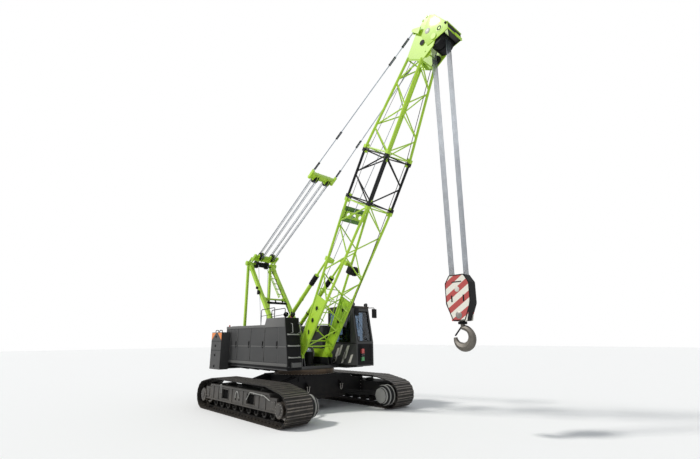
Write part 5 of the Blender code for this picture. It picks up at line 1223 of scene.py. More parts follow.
def house_right():
    """Skirt, belt strips, pillars, roof edge and hump of the right house, painted shade on its front face, and its
    front steps and boxes.
    """
    face = -HOUSE_SIDE

    def out(low, high, near, far, bevel=0.004):
        return box((low[0], face - far, low[1]), (high[0], face - near, high[1]), bevel)

    skirt = [
        out((HOUSE_REAR + 0.02, SKIRT_LOW), (HOUSE_FRONT - 0.02, SKIRT_HIGH), -0.01, 0.014),
        out((DOOR_EDGES[-1] + 0.03, STRIP_LOW), (0.80, STRIP_HIGH), -0.01, 0.012),
    ]
    skirt += [out((x - 0.012, DOOR_LOW), (x + 0.012, DOOR_HIGH), -0.01, 0.006, 0.003) for x in DOOR_EDGES]
    piece("house_skirt_right", "upperworks", HOUSE_LIGHT, skirt)

    roof = [
        box(
            (HOUSE_REAR, -HOUSE_SIDE - 0.012, HOUSE_ROOF - 0.10),
            (HUMP_REAR - 0.10, -HOUSE_SIDE + 0.002, HOUSE_ROOF + 0.012), 0.005,
        ),
        box(
            (HOUSE_REAR + 0.01, -HOUSE_SIDE - 0.010, HOUSE_ROOF - 0.004),
            (HUMP_REAR - 0.11, -HOUSE_INNER - 0.01, HOUSE_ROOF + 0.012), 0.004,
        ),
    ]
    hump = [
        (HUMP_REAR - 0.12, HOUSE_ROOF - 0.10), (HOUSE_FRONT - 0.255, HOUSE_ROOF - 0.10),
        (HUMP_FRONT + 0.004, HUMP_ROOF + 0.006), (HUMP_REAR - 0.004, HUMP_ROOF + 0.006),
        (HUMP_REAR - 0.12, HOUSE_ROOF + 0.012),
    ]
    roof.append(side_plate(hump, -HOUSE_SIDE - 0.004, 0.012, 0.003))
    piece("house_roof_edge_right", "upperworks", HOUSE_LIGHT, roof)

    slat = box((-0.012, -0.28, -0.001), (0.030, 0.28, 0.010), 0.003)
    paths = [
        row((-3.9, -1.19, HOUSE_ROOF + 0.014), (-3.1, -1.19, HOUSE_ROOF + 0.014), (0, 0, 1), 14),
        row((-0.62, -1.19, HUMP_ROOF + 0.003), (0.42, -1.19, HUMP_ROOF + 0.003), (0, 0, 1), 18),
    ]
    spaced("house_roof_slats", BLACK_TRIM, [slat], paths)
    reach = (HOUSE_FRONT - HUMP_FRONT) / (HUMP_ROOF - HOUSE_BASE)

    def front_x(z):
        return HOUSE_FRONT - (z - HOUSE_BASE) * reach

    # A thin near-black sheet over the house's front face, which is turned from the sun: painted shade.
    low, high = HOUSE_BASE + 0.03, HUMP_ROOF - 0.02
    face_outline = [
        (front_x(low), low), (front_x(low) + 0.008, low), (front_x(high) + 0.008, high), (front_x(high), high),
    ]
    front_shade = [side_plate(face_outline, -(HOUSE_SIDE + HOUSE_INNER) / 2, HOUSE_SIDE - HOUSE_INNER - 0.05)]
    piece("house_front_panel", "upperworks", BLACK_TRIM, front_shade)

    front = []
    for z in (2.91, 2.47, 2.03):
        x = HOUSE_FRONT - 0.28 * (z - HOUSE_BASE) / 1.91
        points = [(x - 0.02, -1.43, z), (x + 0.11, -1.43, z), (x + 0.11, -0.94, z), (x - 0.02, -0.94, z)]
        front.append(pipe(points, 0.025, 0.04, 12))
        front += [box((x - 0.02, y - 0.04, z - 0.04), (x + 0.012, y + 0.04, z + 0.04), 0.005) for y in (-1.43, -0.94)]
    x = HOUSE_FRONT - 0.19
    grip = ((0, 2.98), (0.14, 2.98), (0.08, 3.34), (-0.02, 3.34))
    front += [pipe([(x + off, y, z) for off, z in grip], 0.016, 0.05) for y in (-1.27, -0.90)]
    piece("house_steps_front", "upperworks", LIGHT_GREY, front)

    grey = [box((0.90, -1.36, 1.66), (1.00, -0.90, 1.84), 0.012)]
    piece("front_boxes", "upperworks", HOUSE_LIGHT, grey, slot="grey_paint")


def house_doors():
    """Belt strip, latch and hinges of each door, on the door's own body."""
    face = -HOUSE_SIDE
    for index, (rear, front) in enumerate(zip(DOOR_EDGES, DOOR_EDGES[1:])):
        low, high = rear + 0.031, front - 0.031
        body = f"side_door_{index + 1}"
        strip = [box((low + 0.08, face - 0.010, STRIP_LOW), (high - 0.01, face + 0.004, STRIP_HIGH), 0.004)]
        piece(f"door_{index + 1}_strips", body, HOUSE_LIGHT, strip)
        dark = [
            box((high - 0.115, face - 0.008, 2.37), (high - 0.03, face + 0.004, 2.65), 0.006),
            box((high - 0.100, face - 0.016, 2.55), (high - 0.045, face - 0.004, 2.63), 0.006),
        ]
        dark += [
            rod((low + 0.006, face + 0.012, z - 0.06), (low + 0.006, face + 0.012, z + 0.06), 0.019, 14, 0.004)
            for z in (1.95, 3.05)
        ]
        piece(f"door_{index + 1}_latch", body, BLACK_TRIM, dark)


def house_left():
    """Panels, louvres, latches, catwalk and rail of the left house."""
    face = HOUSE_SIDE
    light = [
        box((HOUSE_REAR + 0.02, face - 0.01, SKIRT_LOW), (0.13, face + 0.014, SKIRT_HIGH), 0.004),
        box((HOUSE_REAR + 0.02, face - 0.01, STRIP_LOW), (0.13, face + 0.010, STRIP_HIGH), 0.004),
        box((HOUSE_REAR, face - 0.004, HOUSE_ROOF - 0.10), (0.15, face + 0.012, HOUSE_ROOF + 0.012), 0.005),
        box((HOUSE_REAR + 0.01, HOUSE_INNER + 0.01, HOUSE_ROOF - 0.004), (0.14, face, HOUSE_ROOF + 0.012), 0.004),
    ]
    edges = [HOUSE_REAR + 0.04 + 1.08 * index for index in range(5)]
    for low, high in zip(edges, edges[1:]):
        for bottom, top in ((1.86, 2.36), (2.52, 3.16)):
            corners = [(x, face + 0.002, z) for x, z in rectangle(low + 0.06, high - 0.04, bottom, top)]
            light += frame_bars(corners, 0.014, 0.014, 0.003)
    piece("house_panels_left", "upperworks", HOUSE_LIGHT, light)
    slat = box((-0.010, -0.20, -0.002), (0.022, 0.20, 0.014), 0.003)
    paths = []
    for low, high in zip(edges, edges[1:]):
        x = (low + high) / 2
        paths.append(row((x, face + 0.001, 2.62), (x, face + 0.001, 3.04), (0, 1, 0), 12))
    spaced("house_louvres_left", BLACK_TRIM, [slat], paths)
    latch = [box((high - 0.12, face - 0.004, 2.37), (high - 0.05, face + 0.014, 2.58), 0.006) for high in edges[1:]]
    piece("house_latches_left", "upperworks", BLACK_TRIM, latch)
    step = [box((-4.10, face + 0.002, 1.56), (0.10, face + 0.36, 1.59), 0.004)]
    posts, rail_y = (-3.9, -2.9, -1.9, -0.9), face + 0.34
    for x in (*posts, 0.0):
        outline = [(face, 1.565), (face + 0.35, 1.565), (face, 1.42)]
        step.append(cross_plate(outline, x, 0.014))
    piece("catwalk_left", "upperworks", BLACK_TRIM, step)
    rail = [rod((x, rail_y, 1.58), (x, rail_y, 2.55), 0.016, 10) for x in posts]
    rail += [rod((-3.91, rail_y, z), (-0.89, rail_y, z), 0.016, 10) for z in (2.08, 2.55)]
    piece("catwalk_rail_left", "upperworks", LIME_PAINT, rail)


def counterweight():
    """Seams, lifting eyes and orange corner marks of the slabs."""
    half = WEIGHT_HALF
    marks = []
    proud = 0.0025
    drop, reach = 0.34, 0.42
    top, corner = WEIGHT_HIGH - 0.02, half - 0.12
    for sign in (-1, 1):
        for x0, x1 in (
            (WEIGHT_WING - 0.01, WEIGHT_WING - 0.01 - reach), (WEIGHT_REAR + 0.11, WEIGHT_REAR + 0.11 + reach),
        ):
            outline = [(x0, top), (x1, top), (x0, top - drop)]
            marks.append(side_plate(outline, sign * half, 2 * proud))
        outline = [(sign * corner, top), (sign * (corner - reach), top), (sign * corner, top - drop)]
        marks.append(cross_plate(outline, WEIGHT_REAR, 2 * proud))
    piece("counterweight_marks", "upperworks", ORANGE, marks)

    seams = []
    for z in (2.235, 2.65):
        for sign in (-1, 1):
            y = sign * half
            seams.append(box((WEIGHT_REAR + 0.10, y - 0.004, z - 0.008), (WEIGHT_WING, y + 0.004, z + 0.008)))
        seams.append(
            box((WEIGHT_REAR - 0.003, -half + 0.10, z - 0.008), (WEIGHT_REAR + 0.004, half - 0.10, z + 0.008))
        )
    piece("counterweight_seams", "upperworks", BLACK_VOID, seams)

    eyes = []
    for sign in (-1, 1):
        for x in (-4.85, -4.45):
            y = sign * 1.75
            loop = ((-0.07, -0.01), (-0.07, 0.10), (0.07, 0.10), (0.07, -0.01))
            eyes.append(pipe([(x, y + off, WEIGHT_HIGH + rise) for off, rise in loop], 0.018, 0.06))
        for z in (1.52, 2.02, 2.44, 2.86):
            y = sign * half
            eyes.append(cross_rod(-4.48, y - sign * 0.01, y + sign * 0.022, z, 0.055, 20, 0.006))
    piece("counterweight_eyes", "upperworks", NEAR_BLACK_AND_SHADE, eyes)


# Cab


def cab():
    """Windows and their seals, roof cap, front panel and wiper of the cab."""
    middle = (CAB_INNER + CAB_OUTER) / 2
    post = 2 * CAB_WALL
    lean = math.atan2(CAB_FRONT - CAB_TOP_FRONT, CAB_HIGH - CAB_SILL)

    def front_x(z):
        return CAB_FRONT - (z - CAB_SILL) * math.tan(lean)

    panes = []
    low, high = CAB_SILL + CAB_WALL + 0.004, CAB_HEAD - 0.004
    outline = rectangle(CAB_INNER + post + 0.002, CAB_OUTER - post - 0.002, low, high)
    shape = bmesh.new()
    rear_face = [shape.verts.new((front_x(z) - 0.035, y, z)) for y, z in outline]
    near_face = [shape.verts.new((front_x(z) - 0.028, y, z)) for y, z in outline]
    shape.faces.new(rear_face)
    shape.faces.new(near_face)
    for index in range(4):
        after = (index + 1) % 4
        shape.faces.new((rear_face[index], rear_face[after], near_face[after], near_face[index]))
    bmesh.ops.recalc_face_normals(shape, faces=shape.faces)
    panes += [
        shape,
        box(
            (CAB_REAR + post + 0.002, CAB_INNER + 0.020, CAB_SILL + 0.002),
            (CAB_TOP_FRONT - post - 0.002, CAB_INNER + 0.027, CAB_HEAD - 0.002),
        ),
        box(
            (CAB_REAR + 0.020, CAB_INNER + post + 0.002, CAB_SILL + 0.002),
            (CAB_REAR + 0.027, CAB_OUTER - post - 0.002, CAB_HEAD - 0.002),
        ),
    ]
    piece("cab_windows", "upperworks", WINDOW, panes)
    door_y = CAB_OUTER + 0.006
    pane = box(
        (CAB_DOOR_REAR + 0.002, door_y + 0.012, CAB_SILL + 0.002),
        (CAB_DOOR_FRONT - 0.002, door_y + 0.019, CAB_HEAD - 0.002),
    )
    piece("cab_door_window", "sliding_cab_door", WINDOW, [pane])

    seals = frame_bars([(front_x(z) - 0.010, y, z) for y, z in outline], 0.030, 0.040, 0.008)
    inner = rectangle(CAB_REAR + post, CAB_TOP_FRONT - post, CAB_SILL, CAB_HEAD)
    seals += frame_bars([(x, CAB_INNER + 0.010, z) for x, z in inner], 0.026, 0.030, 0.006)
    seals.append(bar((0.95, CAB_INNER + 0.012, CAB_SILL), (0.95, CAB_INNER + 0.012, CAB_HEAD), 0.034, 0.026, 0.006))
    rear = rectangle(CAB_INNER + post, CAB_OUTER - post, CAB_SILL, CAB_HEAD)
    seals += frame_bars([(CAB_REAR + 0.012, y, z) for y, z in rear], 0.026, 0.030, 0.006)
    piece("cab_window_seals", "upperworks", RUBBER, seals)
    door = rectangle(CAB_DOOR_REAR, CAB_DOOR_FRONT, CAB_SILL, CAB_HEAD)
    trim = frame_bars([(x, door_y + 0.024, z) for x, z in door], 0.024, 0.028, 0.006)
    trim.append(box((1.36, door_y + 0.033, 2.28), (1.46, door_y + 0.060, 2.34), 0.010))
    piece("cab_door_trim", "sliding_cab_door", RUBBER, trim)

    roof = [
        box(
            (CAB_REAR - 0.012, CAB_INNER - 0.010, CAB_HIGH - 0.055),
            (CAB_TOP_FRONT + 0.045, CAB_OUTER + 0.004, CAB_HIGH + 0.028), 0.022,
        ),
        box(
            (CAB_REAR + 0.18, CAB_INNER + 0.16, CAB_HIGH + 0.02),
            (CAB_TOP_FRONT - 0.50, CAB_OUTER - 0.16, CAB_HIGH + 0.06), 0.020,
        ),
    ]
    piece("cab_roof_cap", "upperworks", BROWN_BLACK, roof)

    black = [
        box(
            (CAB_FRONT - 0.012, CAB_INNER + 0.06, CAB_LOW + 0.06),
            (CAB_FRONT + 0.010, CAB_OUTER - 0.06, CAB_SILL - 0.06), 0.010,
        ),
        box(
            (CAB_REAR + 0.02, CAB_INNER - 0.008, CAB_SILL - 0.05),
            (CAB_FRONT - 0.03, CAB_INNER + 0.004, CAB_SILL - 0.022), 0.004,
        ),
        box(
            (CAB_REAR + 0.02, CAB_INNER - 0.010, CAB_LOW - 0.002),
            (CAB_FRONT - 0.01, CAB_INNER + 0.004, CAB_LOW + 0.06), 0.006,
        ),
    ]
    for y in (CAB_INNER + 0.22, CAB_OUTER - 0.22):
        path = ((0.002, 1.86), (0.06, 1.86), (0.06, 2.44), (0.002, 2.44))
        black.append(pipe([(CAB_FRONT + off, y, z) for off, z in path], 0.013, 0.04))
    piece("cab_front_panel", "upperworks", BLACK_TRIM, black)

    wiper = []
    pivot = Vector((front_x(2.70) + 0.012, middle + 0.10, 2.70))
    tip = Vector((front_x(3.45) + 0.020, middle - 0.24, 3.45))
    wiper += [
        rod(pivot - Vector((0.03, 0, 0)), pivot + Vector((0.015, 0, 0)), 0.024, 16),
        tube([pivot, (pivot + tip) / 2 + Vector((0.03, 0, 0)), tip], 0.008, 8),
    ]
    blade = Vector((-math.sin(lean), 0.10, math.cos(lean))).normalized() * 0.36
    wiper.append(bar(tip - blade - Vector((0.008, 0, 0)), tip + blade - Vector((0.008, 0, 0)), 0.014, 0.020, 0.004))
    piece("cab_wiper", "upperworks", BLACK_TRIM, wiper)
    cab_lamps()
    cab_band()
    cab_inside(middle)


def cab_lamps():
    """Lamps on the roof, the two mirrors, and the signal lamps at the front corner."""
    shells, lenses = [], []
    for y in (CAB_INNER + 0.10, CAB_OUTER - 0.12):
        place = facing((CAB_TOP_FRONT - 0.02, y, CAB_HIGH + 0.09), (1, 0, -0.15))
        shells += [
            moved(
                turned(
                    [
                        (0, -0.09), (0.05, -0.085), (0.078, -0.03), (0.082, 0.03), (0.074, 0.034), (0.070, 0.0),
                        (0, -0.02),
                    ],
                    24,
                ),
                place,
            ),
            rod((CAB_TOP_FRONT - 0.05, y, CAB_HIGH + 0.01), (CAB_TOP_FRONT - 0.05, y, CAB_HIGH + 0.05), 0.018, 12),
        ]
        lenses.append(
            moved(turned([(0, 0.026), (0.045, 0.022), (0.072, 0.010), (0.072, 0.004), (0, 0.004)], 24), place)
        )
    arm_x = CAB_TOP_FRONT + 0.26
    mirror_y = CAB_INNER + 0.025
    shells += [
        box((arm_x - 0.032, mirror_y - 0.108, 3.676), (arm_x + 0.034, mirror_y + 0.108, 4.012), 0.022),
        tube([(CAB_TOP_FRONT - 0.05, mirror_y, 4.055), (arm_x, mirror_y, 4.055)], 0.019, 12),
    ]
    piece("cab_lamp_shells", "upperworks", BLACK_TRIM, shells)
    piece("cab_lamp_glasses", "upperworks", LAMP_GLASS, lenses)
    outer = Vector((CAB_TOP_FRONT + 0.15, CAB_OUTER + 0.24, 3.81))
    arm = [(CAB_TOP_FRONT - 0.04, CAB_OUTER - 0.02, 4.05), (outer.x, outer.y, 4.06), (outer.x, outer.y, 3.98)]
    half = Vector((0.035, 0.130, 0.200))
    mirror = [box(outer - half, outer + half, 0.028), pipe(arm, 0.016, 0.05)]
    piece("cab_outer_mirror", "upperworks", BLACK_TRIM, mirror)
    glass_face = box((arm_x - 0.0335, mirror_y - 0.088, 3.70), (arm_x - 0.030, mirror_y + 0.088, 3.99))
    outer_face = box(outer + Vector((-0.0385, -0.105, -0.175)), outer + Vector((-0.0345, 0.105, 0.175)))
    piece("cab_mirror_face", "upperworks", MIRROR, [glass_face, outer_face])

    lamp_y = CAB_INNER + 0.30
    column = [box((CAB_FRONT - 0.01, lamp_y - 0.13, 1.80), (CAB_FRONT + 0.040, lamp_y + 0.13, 2.36), 0.016)]
    piece("signal_lamp_column", "upperworks", BLACK_TRIM, column)
    for name, material, z, high in (
        ("red", RED_LENS, 2.23, 0.19), ("white", LAMP_GLASS, 2.07, 0.10), ("green", GREEN_LENS, 1.92, 0.16),
    ):
        lens = box(
            (CAB_FRONT + 0.030, lamp_y - 0.10, z - high / 2), (CAB_FRONT + 0.052, lamp_y + 0.10, z + high / 2), 0.010,
        )
        piece(f"signal_lamp_{name}", "upperworks", material, [lens])


def cab_band():
    """A generic painted design on the cab's inner side: pale slanted strokes of mixed lengths."""
    bands = []
    strokes = (
        (1.74, 2.10, 0.28), (1.90, 2.46, 0.34), (1.72, 2.22, 0.22), (2.02, 2.48, 0.26), (1.76, 2.36, 0.30),
        (1.72, 2.00, 0.20), (2.00, 2.46, 0.24),
    )
    for index, (low, high, reach) in enumerate(strokes):
        front = CAB_FRONT - 0.22 - 0.21 * index
        lean = 0.42 * (high - low)
        outline = [
            (front, high), (front - 0.45 * reach, high - 0.02), (front - lean - 0.55 * reach, low),
            (front - lean, low + 0.03),
        ]
        bands.append(side_plate(outline, CAB_INNER, 0.005))
    piece("cab_side_bands", "upperworks", PALE_PAINT, bands)


def cab_inside(middle):
    """Seat, consoles, levers and floor that show through the windows."""
    floor = CAB_LOW + CAB_WALL
    seat_x = CAB_REAR + 0.50

    def inside(x, y, low, high, bevel=0.0):
        return box((x + low[0], y + low[1], floor + low[2]), (x + high[0], y + high[1], floor + high[2]), bevel)

    cushions = [
        inside(seat_x, middle, low, high, 0.045) for low, high in (
            ((-0.02, -0.24, 0.36), (0.49, 0.24, 0.50)), ((-0.12, -0.23, 0.46), (0.02, 0.23, 1.05)),
            ((-0.11, -0.14, 1.06), (-0.02, 0.14, 1.24)),
        )
    ]
    for sign in (-1, 1):
        near, far = sign * 0.245, sign * 0.17
        cushions.append(inside(seat_x, middle, (0.02, near, 0.49), (0.46, far, 0.53), 0.016))
        cushions.append(inside(seat_x, middle, (0.00, near, 0.56), (0.05, far, 0.98), 0.016))
    seat = piece("driver_seat", "upperworks", SEAT_VINYL, cushions, stands_for=["cab_seat"])
    rounder = seat.modifiers.new("round", "SUBSURF")
    rounder.levels = rounder.render_levels = 1

    base = [inside(seat_x, middle, (0.04, -0.16, 0.001), (0.40, 0.16, 0.34), 0.02)]
    knob = [(0, -0.045), (0.020, -0.04), (0.027, 0), (0.020, 0.04), (0, 0.048)]
    boot = [(0.038, 0), (0.030, 0.02), (0.014, 0.07), (0, 0.07), (0, 0)]
    for sign in (-1, 1):
        base.append(inside(seat_x, middle, (-0.05, sign * 0.27, 0.001), (0.62, sign * 0.40, 0.60), 0.03))
        y = middle + sign * 0.335
        lever = ((0.48, 0.59), (0.50, 0.72), (0.52, 0.78))
        base.append(tube([(seat_x + off, y, floor + rise) for off, rise in lever], 0.011, 10))
        for profile, off, rise in ((knob, 0.525, 0.82), (boot, 0.49, 0.598)):
            base.append(moved(turned(profile, 16), Matrix.Translation((seat_x + off, y, floor + rise))))
    base.append(inside(CAB_FRONT, CAB_INNER, (-0.36, 0.12, 0.001), (-0.14, 0.30, 0.86), 0.03))
    base.append(inside(CAB_FRONT, CAB_INNER, (-0.33, 0.13, 0.88), (-0.25, 0.44, 1.16), 0.016))
    for y in (middle - 0.12, middle + 0.12):
        base.append(inside(CAB_FRONT, y, (-0.42, -0.05, 0.03), (-0.22, 0.05, 0.055), 0.008))
        pedal = ((0.30, 0.05), (0.28, 0.22), (0.34, 0.34))
        base.append(tube([(CAB_FRONT - off, y, floor + rise) for off, rise in pedal], 0.009, 8))
    base.append(
        box(
            (CAB_REAR + 0.052, CAB_INNER + 0.052, floor + 0.0005),
            (CAB_FRONT - 0.052, CAB_OUTER - 0.052, floor + 0.012), 0.002,
        )
    )
    piece("cab_consoles", "upperworks", BLACK_TRIM, base)
    screen = inside(CAB_FRONT, CAB_INNER, (-0.3335, 0.15, 0.90), (-0.3295, 0.42, 1.14))
    piece("cab_screen", "upperworks", MIRROR, [screen])


# Gantry, winches and backstops


def gantry():
    """Gussets, ladder, dark fittings, roller, cables and lead ropes of the gantry."""
    run = (GANTRY_TOP - GANTRY_FOOT).normalized()
    out = Vector((-run.z, 0, run.x))
    reach = (GANTRY_TOP - GANTRY_FOOT).length

    def along(share, y, off=0.0):
        place = GANTRY_FOOT + run * reach * share + out * off
        return Vector((place.x, y, place.z))

    lime = []
    for sign in (-1, 1):
        y = sign * GANTRY_HALF
        lime += [bar(along(share - 0.03, y), along(share + 0.03, y), 0.186, 0.186, 0.010) for share in (0.06, 0.94)]
        lime += [
            bar(along(share + 0.028 * side, y - sign * 0.075), along(share, y - sign * 0.34), 0.020, 0.13, 0.004)
            for share in (0.16, 0.52)
            for side in (-1, 1)
        ]
        lime.append(rod(along(1, y + sign * 0.16), along(1, y + sign * 0.215), 0.125, 32, 0.010))
    piece("gantry_gussets", "upperworks", LIME_PAINT, lime)

    rungs = [rod(along(0.55, 0.28), along(0.93, 0.28), 0.026, 12)]
    for index in range(5):
        share = 0.56 + 0.072 * (index + 0.5)
        rungs.append(rod(along(share, 0.28), along(share, 0.60), 0.023, 12))
    piece("gantry_ladder_rungs", "upperworks", LIME_PAINT, rungs)

    dark = []
    low, high = along(0.475, -0.56), along(0.475, 0.56)
    dark.append(bar(low, high, 0.10, 0.10, 0.008))
    dark += [bar(along(0.475, y), along(0.52, y), 0.05, 0.05, 0.006) for y in (-0.40, 0.0, 0.40)]
    dark += [
        rod(along(0.975, -0.52), along(0.975, 0.52), 0.038, 20, 0.006),
        block(along(0.60, -0.80), (0.07, 0.035, 0.10), 0.012), block(along(0.66, -0.79), (0.05, 0.03, 0.06), 0.012),
    ]
    piece("gantry_dark_fittings", "upperworks", BLACK_TRIM, dark)

    roller = [
        wheel(
            [
                (0, -0.19), (0.105, -0.19), (0.115, -0.17), (0.095, -0.10), (0.095, 0.10), (0.115, 0.17),
                (0.105, 0.19), (0, 0.19),
            ],
            32, GANTRY_TOP.x, 0, GANTRY_TOP.z,
        )
    ]
    piece("gantry_head_roller", "upperworks", RUSTY_BROWN, roller)

    cable = []
    for sign in (-1, 1):
        points = [along(share, sign * (GANTRY_HALF - 0.11), 0.02) for share in (0.06, 0.35, 0.65, 0.93)]
        cable.append(tube(points, 0.012, 8))
        cable += [
            block(along(share, sign * (GANTRY_HALF - 0.098)), (0.03, 0.014, 0.03), 0.004)
            for share in (0.2, 0.5, 0.8)
        ]
    piece("gantry_cables", "upperworks", RUBBER, cable)

    leads = ((-0.12, -0.27), (0.10, 0.30))
    rope_lead = [
        rod((LUFFING_DRUM_X - 0.22, low, 2.22), (GANTRY_TOP.x + 0.195, high, 6.47), 0.011, 8)
        for low, high in leads
    ]
    piece("luffing_lead_ropes", "upperworks", WIRE_ROPE, rope_lead)


def winches():
    """The rope on each drum, turn by turn, and the bright rims of its flanges."""
    half = 0.47
    step = 2 * half / COIL_TURNS
    rim = [(0.33, 0), (0.357, 0), (0.362, 0.008), (0.362, 0.022), (0.357, 0.028), (0.33, 0.028)]
    for body, x, radius, body_name in (
        ("main_winch", MAIN_DRUM_X, COIL_RADIUS, "main_drum_rope"),
        ("auxiliary_winch", AUXILIARY_DRUM_X, COIL_RADIUS, "auxiliary_drum_rope"),
        ("luffing_winch", LUFFING_DRUM_X, 0.240, "luffing_drum_rope"),
    ):
        profile = [(0.20, -half)]
        for index in range(COIL_TURNS):
            y = -half + 2 * half * index / COIL_TURNS
            profile += [
                (radius - 0.009, y + 0.06 * step), (radius + 0.004, y + 0.3 * step), (radius + 0.004, y + 0.7 * step),
                (radius - 0.009, y + 0.94 * step),
            ]
        profile.append((0.20, half))
        coil = wheel(profile, 40, x, 0, DRUM_Z, closed=True)
        piece(body_name, body, WIRE_ROPE, [coil])
        rims = [wheel(rim, 48, x, sign * 0.4905, DRUM_Z, sign, closed=True) for sign in (-1, 1)]
        piece(f"{body_name}_rims", body, BARE_STEEL, rims)


def backstops():
    """Sleeves, collars and bands of the backstops' barrels, and the posts that hold them."""
    way = Vector((0.75289, 0, 0.65814))
    for side, sign in SIDES:
        start = Vector((-1.15, sign * BACKSTOP_Y, 3.20))

        def around(profile, distance):
            return moved(turned(profile, 32, closed=True), facing(start + way * distance, way))

        barrel = f"{side}_backstop_barrel"
        profile = [(0.1085, 0), (0.112, 0.006), (0.112, 0.512), (0.1085, 0.518)]
        sleeve = [around(profile, 2.70)]
        for low, high in ((0.28, 0.36), (0.98, 1.04)):
            sleeve.append(around([(0.084, 0), (0.096, 0.004), (0.096, high - low - 0.004), (0.084, high - low)], low))
        piece(f"{barrel}_sleeve", barrel, BLACK_TRIM, sleeve)
        band = [(0.086, 0), (0.100, 0.006), (0.100, 0.05), (0.086, 0.056)]
        piece(f"{barrel}_bands", barrel, LIME_PAINT, [around(band, distance) for distance in (0.55, 1.8)])
        post = [
            box((-1.22, sign * BACKSTOP_Y - 0.085, 2.20), (-1.08, sign * BACKSTOP_Y - 0.060, 3.28), 0.006),
            box((-1.22, sign * BACKSTOP_Y + 0.060, 2.20), (-1.08, sign * BACKSTOP_Y + 0.085, 3.28), 0.006),
            cross_rod(-1.15, sign * BACKSTOP_Y - 0.11, sign * BACKSTOP_Y + 0.11, 3.20, 0.045, 24, 0.006),
        ]
        piece(f"backstop_post_{side}", "upperworks", GREY_PAINT, post)


def roof_lamps():
    """Handrails, floodlights and red lamps on the house roofs."""
    rails = []
    for y in (-1.45, -0.92):
        rails += [
            pipe(
                [
                    (-1.30, y, HOUSE_ROOF), (-1.30, y, HUMP_ROOF + 0.40), (-0.25, y, HUMP_ROOF + 0.44),
                    (-0.25, y, HUMP_ROOF),
                ],
                0.017, 0.07,
            ),
            rod((-1.30, y, HUMP_ROOF + 0.12), (-0.25, y, HUMP_ROOF + 0.18), 0.011, 10),
        ]
    piece("roof_handrails", "upperworks", BLACK_TRIM, rails)
    shells, glasses = [], []
    x, z = 0.46, HUMP_ROOF + 0.13
    for y, aim in ((-1.36, -0.25), (-1.02, 0.15)):
        place = facing((x, y, z), (1, aim, -0.45))
        shells += [
            moved(
                turned(
                    [
                        (0, -0.10), (0.05, -0.09), (0.10, -0.02), (0.105, 0.03), (0.096, 0.034), (0.090, 0.0),
                        (0, -0.02),
                    ],
                    28,
                ),
                place,
            ),
            rod((x - 0.02, y, z - 0.13), (x - 0.02, y, z - 0.04), 0.016, 10),
        ]
        glasses.append(
            moved(turned([(0, 0.024), (0.06, 0.019), (0.093, 0.008), (0.093, 0.002), (0, 0.002)], 28), place)
        )
    piece("floodlight_shells", "upperworks", BLACK_TRIM, shells)
    piece("floodlight_glasses", "upperworks", LAMP_GLASS, glasses)
    dome = [(0, 0.085), (0.022, 0.080), (0.036, 0.05), (0.038, 0.0), (0, 0)]
    places = [(-4.20, y, HOUSE_ROOF + 0.012) for y in (-1.44, 1.44)] + [
        (x, -0.93, HUMP_ROOF + 0.01)
        for x in (0.20, 0.34)
    ]
    red = [moved(turned(dome, 20), Matrix.Translation(place)) for place in places]
    piece("roof_red_lamps", "upperworks", RED_LENS, red)


# Boom


def boom_size(s):
    """The lattice's half width and half depth between chord middles at a distance from the foot pin."""
    chords = ((0.0, 1.40, 0.34), (2.58, 1.30, 1.29), (8.73, 1.30, 1.29), (12.42, 0.80, 0.70))
    for (s0, w0, d0), (s1, w1, d1) in zip(chords, chords[1:]):
        if s <= s1:
            share = (s - s0) / (s1 - s0)
            return (w0 + (w1 - w0) * share) / 2, (d0 + (d1 - d0) * share) / 2
    return 0.40, 0.35


